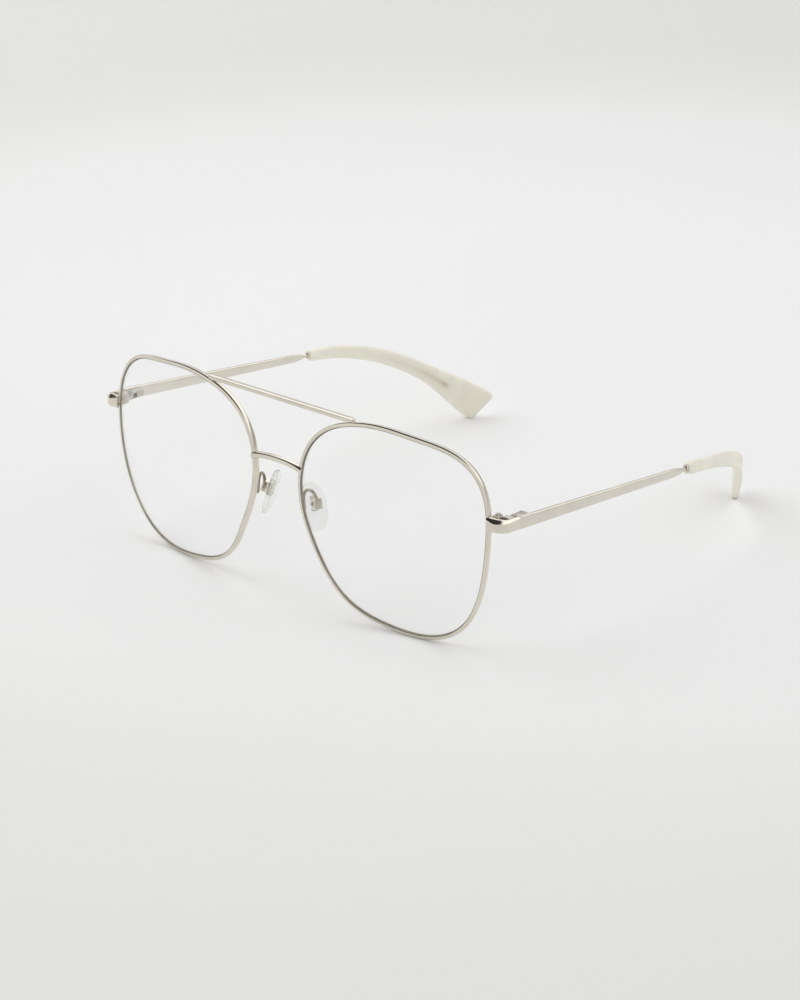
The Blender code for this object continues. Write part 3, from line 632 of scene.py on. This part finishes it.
METAL = metal("champagne_metal", CHAMPAGNE, roughness=0.1, spread=0.05)
STRIP_METAL = metal(
    "champagne_strip", STRIP_CHAMPAGNE, roughness=0.22, spread=0.06, grain=(1, 0.06, 1),
)
BARREL_METAL = metal("hinge_metal", HINGE_METAL, roughness=0.22, spread=0.08)
SCREW_STEEL = metal("screw_steel", STEEL, roughness=0.22, spread=0.08)
# Darker metal painted as the shade on the rim's inner wall and groove
GROOVE_PAINTED_SHADE_METAL = metal("groove_painted_shade", GROOVE_PAINTED_SHADE, roughness=0.4, spread=0.1)
# The pad arm's metal, darkened as painted shade and reflection
ARM_PAINTED_SHADE_METAL = metal("pad_arm_painted_shade", ARM_PAINTED_SHADE, roughness=0.2, spread=0.06)
PLATE_METAL = metal("pad_plate_metal", PLATE_SHADE, roughness=0.3, spread=0.08)
# A dark finish painted as the shade on the lens's bevelled edge
LENS_EDGE_PAINTED_SHADE_METAL = metal("lens_edge_painted_shade", LENS_EDGE_PAINTED_SHADE, roughness=0.5, spread=0.1)
PEARL = pearl()
LENS_GLASS = lens_glass()
PAD_CLEAR = clear_pad()


# Rims and lenses


def trace_radius(angle):
    """The lens shape's radius at any angle, a smooth periodic curve through the trace."""
    count = len(TRACE)
    total = 0.0
    for k, radius in enumerate(TRACE):
        turn = (angle - 2 * pi * k / count + pi) % (2 * pi) - pi
        total += radius * (1.0 if abs(turn) < 1e-9 else sin(count * turn / 2) / (count * tan(turn / 2)))
    return total


def trace_point(angle, grow):
    """A point of the lens shape, moved outward by grow along the shape's normal."""
    step = 0.001
    ahead, behind = (
        trace_radius(a) * Vector((cos(a), sin(a))) for a in (angle + step, angle - step)
    )
    along = (ahead - behind).normalized()
    return (ahead + behind) / 2 + grow * Vector((along.y, -along.x))


def on_lens(u, v, out):
    """A point of the flat lens drawing, laid on the curved and tilted lens surface."""
    root = sqrt(LENS_CURVE_RADIUS**2 - u * u - v * v)
    lean = out / LENS_CURVE_RADIUS
    point = Vector((u * (1 + lean), LENS_CURVE_RADIUS - root * (1 + lean), v * (1 + lean)))
    turn = Matrix.Rotation(FACE_FORM, 3, "Z") @ Matrix.Rotation(LENS_TILT, 3, "X")
    return LENS_CENTRE + turn @ point


def split_angle():
    """The angle at which the rim passes the middle of the end piece."""
    low, high = 0.0, pi / 4
    for _ in range(SPLIT_HALVINGS):
        middle = (low + high) / 2
        if on_lens(*trace_point(middle, 0), 0).z < SPLIT_Z:
            low = middle
        else:
            high = middle
    return low


SPLIT = split_angle()
TRACE_ANGLES = [SPLIT + 2 * pi * k / TRACE_STEPS for k in range(TRACE_STEPS)]


def rim_section():
    """The rim's section, outward and forward, and the numbers of its faces that look inward."""
    x, y = RIM_WIDTH / 2, RIM_DEPTH / 2
    rounded = [(x, -y, RIM_ROUND), (x, y, RIM_ROUND), (-x, y, RIM_INNER_ROUND)]
    groove = [(-x, GROOVE_HALF_MOUTH, 0), (GROOVE_DEPTH - x, 0, 0), (-x, -GROOVE_HALF_MOUTH, 0)]
    points = filleted(rounded + groove + [(-x, -y, RIM_INNER_ROUND)])
    first = len(rounded) * (FILLET_STEPS + 1) - 1
    return points, range(first, first + len(groove) + 1)


def around_lens(section, angles):
    """A section (outward, forward) set at angles round the lens shape."""
    return [[on_lens(*trace_point(angle, x), y) for x, y in section] for angle in angles]


def rim():
    """The rim, open at its split, with its inner wall and groove in the second finish, a darker colour
    painted as shade.
    """
    section, inward = rim_section()
    half_split = RIM_SPLIT / 2 / trace_radius(SPLIT)
    angles = [SPLIT + half_split, *TRACE_ANGLES[1:], SPLIT + 2 * pi - half_split]
    mesh = loft(around_lens(section, angles))
    # The faces that look inward take the painted shade
    for face in mesh.polygons[:-2]:
        face.material_index = int(face.index % len(section) in inward)
    return mesh


def rim_space(depth):
    """The room that a rim needs in the pieces soldered to it, on the left and on the right."""
    section = bar_section(RIM_WIDTH + 2 * GAP, depth, RIM_ROUND)
    left = loft(around_lens(section, TRACE_ANGLES), hoop=True)
    return left, mirrored(left)


def lens():
    """Two curved faces, and between them the bevelled edge that sits in the rim's groove."""
    half = LENS_THICKNESS / 2
    inner = -RIM_WIDTH / 2 - 2 * GAP
    tip = inner + GROOVE_DEPTH - GAP

    def face(out, scales):
        rim_line = [trace_point(angle, inner) for angle in TRACE_ANGLES]
        return [[on_lens(*(point * scale), out) for point in rim_line] for scale in scales]

    bevel = [(inner, GROOVE_HALF_MOUTH), (tip, 0), (inner, -GROOVE_HALF_MOUTH)]
    edge = around_lens([(inner, half), *bevel, (inner, -half)], TRACE_ANGLES)
    edge_rings = [list(ring) for ring in zip(*edge)]
    mesh = loft(face(half, LENS_RINGS) + edge_rings + face(-half, reversed(LENS_RINGS)))
    first = len(LENS_RINGS)
    edge_bands = range(first, first + len(edge_rings) - 1)
    # The edge bands take the second finish, a painted shade
    for polygon in mesh.polygons:
        polygon.material_index = int(polygon.index // TRACE_STEPS in edge_bands)
    return mesh


# Bridges


def bridge():
    """The lower bridge: an arched bar, waisted in the middle, that laps over both rims."""
    rings = []
    for k in range(-BRIDGE_STEPS, BRIDGE_STEPS + 1):
        across = k / BRIDGE_STEPS
        end = 1 - BRIDGE_END_EDGE * (abs(k) == BRIDGE_STEPS)
        rise = BRIDGE_RISE * (1 - across * across)
        centre = Vector((BRIDGE_END.x * across, BRIDGE_END.y, BRIDGE_END.z + rise))
        slope = atan2(-2 * BRIDGE_RISE * across, BRIDGE_END.x)
        depth = BRIDGE_DEPTH * (BRIDGE_WAIST + (1 - BRIDGE_WAIST) * across * across)
        foot = 1 + BRIDGE_FOOT * across**BRIDGE_FOOT_POWER
        centre.z -= BRIDGE_HEIGHT * (foot - 1) / 2
        edge = BRIDGE_ROUND * foot * (BRIDGE_ROUND_WAIST + (1 - BRIDGE_ROUND_WAIST) * across * across)
        section = bar_section(depth * end, BRIDGE_HEIGHT * foot * end, edge * end, 2 * FILLET_STEPS)
        rings.append([centre + Vector((-y * sin(slope), x, y * cos(slope))) for x, y in section])
    return carved(loft(rings), rim_space(RIM_DEPTH + 2 * GAP))


def brow_bar():
    """The upper bar: straight and crisp-edged, resting on the tops of both rims."""
    rings = []
    for side in (-1, 1):
        for inset, grow in ((0, -BROW_EDGE), (BROW_EDGE, 0)):
            section = bar_section(BROW_DEPTH + 2 * grow, BROW_HEIGHT + 2 * grow, BROW_EDGE + grow / 2)
            x = side * (BROW_HALF_LENGTH - inset)
            rings.append([BROW_CENTRE + Vector((x, across, up)) for across, up in section])
    outer_left, left, outer_right, right = rings
    return carved(loft([outer_left, left, right, outer_right]), rim_space(SADDLE_DEPTH))


# End pieces and temples


def end_piece():
    """The corner piece: its section carried from the rim round the corner to the hinge."""
    outer_centre = Vector((LUG_OUTER_X - LUG_CORNER, LUG_FRONT_Y + LUG_CORNER))
    inner_x = LUG_OUTER_X - TEMPLE_THICKNESS
    inner_centre = Vector((inner_x - LUG_INNER_CORNER, LUG_BACK_Y + LUG_INNER_CORNER))
    back_y = JOINT_Y - JOINT_GAP / 2

    stations = []
    for k in range(LUG_STEPS):
        x = LUG_START_X + (outer_centre.x - LUG_START_X) * k / LUG_STEPS
        stations.append((Vector((x, LUG_FRONT_Y)), Vector((x, LUG_BACK_Y)), k / LUG_STEPS, 0))
    for k in range(LUG_STEPS + 1):
        angle = pi / 2 * k / LUG_STEPS
        turn = Vector((sin(angle), -cos(angle)))
        outer = outer_centre + LUG_CORNER * turn
        inner = inner_centre + LUG_INNER_CORNER * turn
        stations.append((outer, inner, 1 - (1 - LUG_FACET_BEHIND) * k / LUG_STEPS, 0))
    for y, share, inset in ((back_y - LUG_END_EDGE, 0, 0), (back_y, 0, LUG_END_EDGE)):
        stations.append((Vector((LUG_OUTER_X, y)), Vector((inner_x, y)), share, inset))

    rings = []
    for outer, inner, share, inset in stations:
        facet = LUG_FACET_START + (LUG_FACET - LUG_FACET_START) * share
        low = inset - LUG_HEIGHT / 2
        high = -low
        deep = (inner - outer).length - inset
        section = filleted([
            (inset, low, LUG_EDGE), (inset, high - facet, LUG_FACET_EDGE),
            (inset + facet, high, LUG_FACET_EDGE), (deep, high, LUG_EDGE), (deep, low, LUG_EDGE),
        ])
        inward = (inner - outer).normalized()
        behind = (outer.y - LUG_FRONT_Y) / LUG_RISE_DEPTH
        middle = SPLIT_Z + LUG_RISE * (1 - eased(behind, 0, 1))
        rings.append([Vector((*(outer + inward * across), middle + up)) for across, up in section])
    return carved(loft(rings), rim_space(RIM_DEPTH + 2 * GAP)[:1])


def softened(plan, low, high, edge):
    """A plate from low to high, its outline drawn in by plan() where the edges round off."""
    middle = EDGE_MIDDLE * edge
    levels = [(low, edge), (low + middle, middle), (low + edge, 0)]
    levels += [(high + low - z, inset) for z, inset in reversed(levels)]
    return loft([[Vector((*point, z)) for point in plan(inset)] for z, inset in levels])


def column(axis, low, high, radius):
    """An upright round bar, from one height to another."""
    return loft([[Vector((*(axis + point), z)) for point in circle(radius)] for z in (low, high)])


def box_between(low, high):
    """A plain box between two corners."""
    left, front, bottom = low
    right, back, top = high
    corners = ((left, front), (right, front), (right, back), (left, back))
    return loft([[Vector((x, y, z)) for x, y in corners] for z in (bottom, top)])


def hinge_fork():
    """The double barrel and its leaf, with the tongue's slot and the screw's bore."""
    def plan(inset):
        inner = PIN.x - BARREL_RADIUS + inset
        outer = LUG_OUTER_X - TEMPLE_THICKNESS - FORK_PLAY - inset
        front = PIN.y - BARREL_RADIUS + inset
        back = FORK_BACK_Y - inset
        nose = BARREL_RADIUS - inset
        corner = FORK_CORNER - inset
        return filleted([
            (outer, front, nose), (outer, back, corner), (inner, back, corner), (inner, front, nose),
        ])

    half = FORK_HEIGHT / 2
    mesh = softened(plan, SPLIT_Z - half, SPLIT_Z + half, FORK_EDGE)
    slot = FORK_SLOT_HEIGHT / 2
    slot_space = box_between(
        (PIN.x - FORK_SLOT_REACH, PIN.y - 2 * BARREL_RADIUS, SPLIT_Z - slot),
        (PIN.x + FORK_SLOT_REACH, FORK_SLOT_BACK_Y, SPLIT_Z + slot),
    )
    bore = column(PIN, SPLIT_Z - FORK_HEIGHT, SPLIT_Z + FORK_HEIGHT, PIN_RADIUS + GAP)
    return carved(mesh, [slot_space, bore])


def closing_block(upper):
    """One half of the block behind the rim."""
    def plan(inset):
        inner = BLOCK_FRONT.x + inset
        outer = BLOCK_BACK.x - inset
        front = BLOCK_FRONT.y + inset
        back = BLOCK_BACK.y - inset
        corner = BLOCK_ROUND - inset
        return filleted([
            (outer, front, BLOCK_FRONT_ROUND), (outer, back, corner),
            (inner, back, corner), (inner, front, BLOCK_FRONT_ROUND),
        ])

    near, far = RIM_SPLIT / 2, BLOCK_HEIGHT / 2
    low, high = (near, far) if upper else (-far, -near)
    middle = SPLIT_Z + LUG_RISE
    mesh = softened(plan, middle + low, middle + high, BLOCK_EDGE)
    drill = column(CLOSING_AXIS, SPLIT_Z - BLOCK_HEIGHT, SPLIT_Z + BLOCK_HEIGHT, CLOSING_SHANK + GAP)
    return carved(mesh, [rim_space(RIM_DEPTH + 2 * GAP)[0], drill])


def screw(axis, under_head, shank, head, length):
    """A slotted screw with a domed head, hanging from the underside of its head."""
    profile = [(shank - SCREW_END, -length), (shank, SCREW_END - length), (shank, 0.0)]
    profile += [(head * share, height) for share, height in SCREW_PROFILE]
    rings = [
        [Vector((*(axis + point), under_head + height)) for point in circle(radius, FINE_STEPS)]
        for radius, height in profile
    ]
    reach = 2 * head
    half = SCREW_SLOT / 2
    slot = box_between(
        (axis.x - reach, axis.y - half, under_head + SCREW_SLOT_FLOOR),
        (axis.x + reach, axis.y + half, under_head + head),
    )
    return carved(loft(rings), [slot])


def hinge_screw():
    top = SPLIT_Z + FORK_HEIGHT / 2 + GAP
    return screw(PIN, top, PIN_RADIUS, PIN_HEAD, FORK_HEIGHT - SCREW_SHORT)


def closing_screw():
    top = SPLIT_Z + LUG_RISE + BLOCK_HEIGHT / 2 + GAP
    return screw(CLOSING_AXIS, top, CLOSING_SHANK, CLOSING_HEAD, BLOCK_HEIGHT - SCREW_SHORT)


def temple_front():
    """The middle of the strip's front end, behind the joint."""
    return Vector((LUG_OUTER_X - TEMPLE_THICKNESS / 2, JOINT_Y + JOINT_GAP / 2, SPLIT_Z - TEMPLE_DROP))


def temple_line():
    """The direction that the strip runs in, from the joint to the tip."""
    return (TIP_START - temple_front()).normalized()


def tip_curve(share):
    """A point of the tip's centre line and its direction there."""
    start, end = TIP_START, TIP_END
    run = TIP_START + temple_line() * TIP_RUN
    rest = 1 - share
    point = (rest**3 * start + 3 * rest**2 * share * run
             + 3 * rest * share**2 * TIP_KNEE + share**3 * end)
    slope = rest**2 * (run - start) + 2 * rest * share * (TIP_KNEE - run) + share**2 * (end - TIP_KNEE)
    return point, slope.normalized()


def circle(radius, steps=FILLET_STEPS):
    """A round section, with as many points as a bar's."""
    return bar_section(2 * radius, 2 * radius, radius * ROUND_SHARE, steps)


def core_rings(section):
    """A section carried along the core wire's line inside the tip."""
    stations = round(TIP_STATIONS * CORE_END)
    return [framed(*tip_curve(CORE_END * k / stations), section) for k in range(stations + 1)]


def blended(first, last, count):
    """Rings in even steps from one ring to another, without the last."""
    return [[a.lerp(b, k / count) for a, b in zip(first, last)] for k in range(count)]


def temple_arm():
    """The flat strip, its round neck, and the core wire that runs on inside the tip."""
    inset = 2 * TEMPLE_END_EDGE
    cut_end = bar_section(TEMPLE_THICKNESS - inset, TEMPLE_HEIGHT - inset, TEMPLE_EDGE - TEMPLE_END_EDGE)
    ahead, line = Vector((0, 1, 0)), temple_line()
    front = framed(
        temple_front() + ahead * TEMPLE_END_EDGE, ahead,
        bar_section(TEMPLE_THICKNESS, TEMPLE_HEIGHT, TEMPLE_EDGE),
    )
    end = framed(
        TIP_START - line * NECK_START, line,
        bar_section(TEMPLE_END_THICKNESS, TEMPLE_END_HEIGHT, TEMPLE_EDGE),
    )
    neck = framed(TIP_START - line * NECK_END, line, circle(CORE_RADIUS))
    strip = blended(front, end, TEMPLE_STATIONS) + blended(end, neck, NECK_STATIONS)
    core = core_rings(circle(CORE_RADIUS))
    return loft([framed(temple_front(), ahead, cut_end), *strip, neck, *core])


def tip_collar():
    """The small turned ring on the neck, in front of the tip."""
    line = temple_line()
    inside = [(COLLAR_PROFILE[-1][0], COLLAR_HOLE), (COLLAR_PROFILE[0][0], COLLAR_HOLE)]
    return loft([
        framed(TIP_START - line * ahead, line, circle(radius, FINE_STEPS))
        for ahead, radius in (*COLLAR_PROFILE, *inside)
    ], hoop=True)


def tip_section(thick, width):
    """A bar's section with more points along its two wide sides."""
    x, y, edge = thick / 2, width / 2, thick * TIP_ROUND
    levels = [(y - edge) * (2 * k / TIP_SIDE_STEPS - 1) for k in range(1, TIP_SIDE_STEPS)]
    outer = [(x, up, 0) for up in levels]
    inner = [(-x, -up, 0) for up in levels]
    corners = [(x, -y, edge), *outer, (x, y, edge), (-x, y, edge), *inner, (-x, -y, edge)]
    return filleted(corners, FINE_STEPS)


def temple_tip():
    """The tip's bore and skin in one, from the bore's bottom out and back to the slanted end."""
    hole = [point.normalized() * BORE_RADIUS for point in tip_section(TIP_THICKNESS, TIP_WIDTH)]
    rings = core_rings(hole)[::-1]
    shadow = [0.0] * (len(rings) * len(rings[0]))
    stations = list(TIP_NOSE)
    for k in range(TIP_FIRST_STATION, TIP_STATIONS):
        stations.append((k / TIP_STATIONS * (1 - TIP_END_SHARE), 0.0))
    for k in range(TIP_END_STEPS + 1):
        angle = pi / 2 * k / TIP_END_STEPS
        stations.append((1 - TIP_END_SHARE * (1 - sin(angle)), 1 - cos(angle)))
    for share, rounding in stations:
        centre, direction = tip_curve(share)
        if share == 0:
            centre = centre + direction * GAP
        flare = TIP_FLARE * eased(share, TIP_FLARE_FROM, TIP_FLARE_TO)
        width = TIP_WIDTH + TIP_TAPER * share + flare - 2 * TIP_END_ROUND * rounding
        thick = TIP_THICKNESS - 2 * TIP_END_THIN * rounding
        slant = TIP_SLANT * eased(share, TIP_SLANT_FROM, 1)
        section = tip_section(thick, width)
        rings.append(framed(centre, direction, section, slant))
        past = max(0.0, share - CORE_SHADOW_END) / CORE_SHADOW_FADE
        depth = min(1.0, share / CORE_SHADOW_END)**3 * exp(-past * past)
        shadow += [depth * exp(-(up / CORE_SHADOW_HEIGHT)**2) for _, up in section]
    mesh = loft(rings)
    mesh.attributes.new("core_shadow", "FLOAT", "POINT").data.foreach_set("value", shadow)
    return mesh


# Nose pads


def pad_place(across, along, out):
    """A point given across and along the pad, and out towards the nose."""
    width = Vector((sin(PAD_SPLAY), cos(PAD_SPLAY), 0))
    inward = Vector((-cos(PAD_SPLAY), sin(PAD_SPLAY), 0))
    length = UP * cos(PAD_LEAN) + inward * sin(PAD_LEAN)
    face = inward * cos(PAD_LEAN) - UP * sin(PAD_LEAN)
    return PAD_CENTRE + width * across + length * along + face * out


def nose_pad():
    """The clear pad: its outline shrunk along its domed profile."""
    outline = round_through([Vector(point) for point in PAD_OUTLINE], PAD_AROUND)
    profile = through([Vector(point) for point in PAD_PROFILE], PAD_RINGS)
    return loft([[pad_place(*(point * scale), out) for point in outline] for scale, out in profile])


def across_pad(side, reach):
    """A bar across the pad, from its side view: along the pad from the pivot, and out."""
    return loft([
        [pad_place(across, y + PAD_PIVOT_RISE, out) for y, out in side] for across in (-reach, reach)
    ])


def along_face(outline, back, front):
    """A plate in the pad's plane, from its outline around the pivot."""
    return loft([[pad_place(x, y + PAD_PIVOT_RISE, out) for x, y in outline] for out in (back, front)])


def pad_insert():
    """The waisted plate inside the pad, and the lug behind it with its bore."""
    plate = along_face(filleted(INSERT_OUTLINE), INSERT_BACK, INSERT_FRONT)
    end = -PAD_PIVOT_OFFSET - PAD_LUG_REACH
    half = PAD_LUG_HALF_LENGTH
    lug_side = filleted([
        (-half, PAD_LUG_ROOT, 0), (-half, end, PAD_LUG_ROUND),
        (half, end, PAD_LUG_ROUND), (half, PAD_LUG_ROOT, 0),
    ])
    lug = across_pad(lug_side, PAD_LUG_HALF_WIDTH)
    hole = bar_section(2 * PAD_BORE, 2 * PAD_BORE, PAD_BORE * PAD_BORE_ROUND)
    bore = across_pad([(y, out - PAD_PIVOT_OFFSET) for y, out in hole], BOX_WIDTH)
    return carved(plate, [bore], added=[lug])


def pad_arm():
    """The bent wire from the rim's back to the pad's box, with a rounded foot."""
    route = through([Vector(point) for point in ARM_ROUTE], ARM_STATIONS)
    rings = []
    for k, point in enumerate(route):
        along = (route[min(k + 1, ARM_STATIONS - 1)] - route[max(k - 1, 0)]).normalized()
        side = (Vector((1, 0, 0)) - along * along.x).normalized()
        rise = along.cross(side)
        gone = (point - route[0]).length
        radius = ARM_RADIUS * (ARM_FOOT + (1 - ARM_FOOT) * min(1.0, gone / ARM_END_ROUND))
        turns = [2 * pi * i / ARM_AROUND for i in range(ARM_AROUND)]
        rings.append([point + (side * cos(turn) + rise * sin(turn)) * radius for turn in turns])
    half_width, half_length, half_depth = (
        size / 2 + GAP for size in (BOX_WIDTH, BOX_LENGTH, BOX_DEPTH)
    )
    corners = [
        (-half_width, -half_length), (half_width, -half_length),
        (half_width, half_length), (-half_width, half_length),
    ]
    box = along_face(corners, -half_depth - PAD_PIVOT_OFFSET, half_depth - PAD_PIVOT_OFFSET)
    return carved(loft(rings), [rim_space(RIM_DEPTH + 2 * GAP)[0], box])


# The object

both_sides("rim_wire", rim(), [METAL, GROOVE_PAINTED_SHADE_METAL], "front_frame", "rim")
both_sides("lens_glass", lens(), [LENS_GLASS, LENS_EDGE_PAINTED_SHADE_METAL], "front_frame", "lens")
both_sides("corner_piece", end_piece(), [METAL], "front_frame", "end_piece")
both_sides(
    "block_top", closing_block(upper=True), [BARREL_METAL],
    "front_frame", "closing_block_upper",
)
both_sides(
    "block_foot", closing_block(upper=False), [BARREL_METAL],
    "front_frame", "closing_block_lower",
)
both_sides("block_screw", closing_screw(), [SCREW_STEEL], "front_frame", "closing_screw")
both_sides("hinge_leaf", hinge_fork(), [BARREL_METAL], "left_temple", "hinge_fork")
both_sides("pin_screw", hinge_screw(), [SCREW_STEEL], "left_temple", "hinge_screw")
both_sides("pad_wire", pad_arm(), [ARM_PAINTED_SHADE_METAL], "front_frame", "pad_arm")
both_sides("pad_plate", pad_insert(), [PLATE_METAL], "left_pad", "pad_insert")
both_sides("pad_body", nose_pad(), [PAD_CLEAR], "left_pad", "nose_pad")
both_sides("temple_strip", temple_arm(), [STRIP_METAL], "left_temple", "temple_arm")
both_sides("tip_ring", tip_collar(), [METAL], "left_temple", "tip_collar")
both_sides("ear_piece", temple_tip(), [PEARL], "left_temple", "temple_tip")
shown("nose_bridge", bridge(), [METAL], "front_frame", "bridge")
shown("upper_bar", brow_bar(), [METAL], "front_frame", "brow_bar")

# CAD nodes that are shown as they are, and their finish
CARRIED_OVER = {
    "hinge_tongue": BARREL_METAL,
    "pad_box": METAL,
    "pad_screw": SCREW_STEEL,
}
for node, finish in CARRIED_OVER.items():
    for side in ("left_", "right_"):
        frame["nodes"][side + node].material_slots[0].material = finish


# Floor, light and camera


def floor():
    """A round pale floor whose edge curves up into a low wall."""
    profile = [(FLOOR_FIRST_RING * FLOOR_RING_GROWTH**k, 0.0) for k in range(FLOOR_RINGS)]
    edge = profile[-1][0]
    for k in range(1, WALL_CURVE_STEPS + 1):
        angle = pi / 2 * k / WALL_CURVE_STEPS
        profile.append((edge + WALL_CURVE * sin(angle), WALL_CURVE * (1 - cos(angle))))
    profile.append((edge + WALL_CURVE, WALL_HEIGHT))
    turns = [2 * pi * i / FLOOR_AROUND for i in range(FLOOR_AROUND)]
    bm = bmesh.new()
    rows = [
        [bm.verts.new((radius * cos(turn), radius * sin(turn), z)) for turn in turns]
        for radius, z in profile
    ]
    bm.faces.new(rows[0])
    join_rows(bm, rows)
    mesh = finished_mesh(bm, "floor")
    mesh.shade_smooth()
    made = bpy.data.objects.new("floor", mesh)
    made.data.materials.append(floor_paint_with_light_pool())
    bpy.context.scene.collection.objects.link(made)


def floor_paint_with_light_pool():
    """Pale paint with a painted pool of light, brightest under and behind the glasses."""
    made, tree, shader = new_material("floor")
    coords = tree.nodes.new("ShaderNodeTexCoord")
    away = tree.nodes.new("ShaderNodeVectorMath")
    away.operation = "DISTANCE"
    away.inputs[1].default_value = (*LIGHT_POOL_CENTRE, 0.0)
    tree.links.new(coords.outputs["Object"], away.inputs[0])
    far = remap(tree, away.outputs["Value"], 0.0, 1.0, from_low=0.0, from_high=LIGHT_POOL_REACH)
    tree.links.new(ramp(tree, far, LIGHT_POOL_SHADES), shader.inputs["Base Color"])
    shader.inputs["Roughness"].default_value = 0.9
    shader.inputs["Specular IOR Level"].default_value = 0.0
    return made


def studio():
    """Light from all round but one dark side, and a large soft lamp that reflections don't show."""
    world = bpy.data.worlds.new("studio")
    bpy.context.scene.world = world
    world.use_nodes = True
    tree = world.node_tree
    coords = tree.nodes.new("ShaderNodeTexCoord")
    towards = tree.nodes.new("ShaderNodeVectorMath")
    towards.operation = "DOT_PRODUCT"
    towards.inputs[1].default_value = Vector(DARK_SIDE).normalized()
    tree.links.new(coords.outputs["Generated"], towards.inputs[0])
    shade = remap(tree, towards.outputs["Value"], 0.0, 1.0, from_low=-1.0, from_high=1.0)
    tree.links.new(ramp(tree, shade, SKY_SHADES), tree.nodes["Background"].inputs["Color"])
    tree.nodes["Background"].inputs["Strength"].default_value = SKY_STRENGTH

    lamp = bpy.data.lights.new("softbox", "AREA")
    lamp.shape = "DISK"
    lamp.size = LAMP_SIZE
    lamp.energy = LAMP_POWER
    held = bpy.data.objects.new("softbox", lamp)
    held.location = LAMP_PLACE
    held.visible_glossy = False
    held.rotation_euler = Vector(LAMP_PLACE).to_track_quat("Z", "Y").to_euler()
    bpy.context.scene.collection.objects.link(held)


def camera():
    """The photograph's camera."""
    a, e, r = CAMERA_AZIMUTH, CAMERA_ELEVATION, CAMERA_ROLL
    back = Vector((sin(a) * cos(e), -cos(a) * cos(e), sin(e)))
    level = Vector((cos(a), sin(a), 0))
    above = back.cross(level)
    right = level * cos(r) + above * sin(r)
    up = above * cos(r) - level * sin(r)
    data = bpy.data.cameras.new("camera")
    data.sensor_width = SENSOR
    data.lens = FOCAL_PIXELS * SENSOR / IMAGE_HEIGHT
    made = bpy.data.objects.new("camera", data)
    place = moved(Vector(CAMERA_AIM) + back * CAMERA_DISTANCE)
    turn = Matrix((right, up, back)).transposed().to_4x4()
    made.matrix_world = Matrix.Translation(place) @ turn
    bpy.context.scene.collection.objects.link(made)
    bpy.context.scene.camera = made


floor()
studio()
camera()
bpy.context.scene.view_settings.view_transform = "Standard"
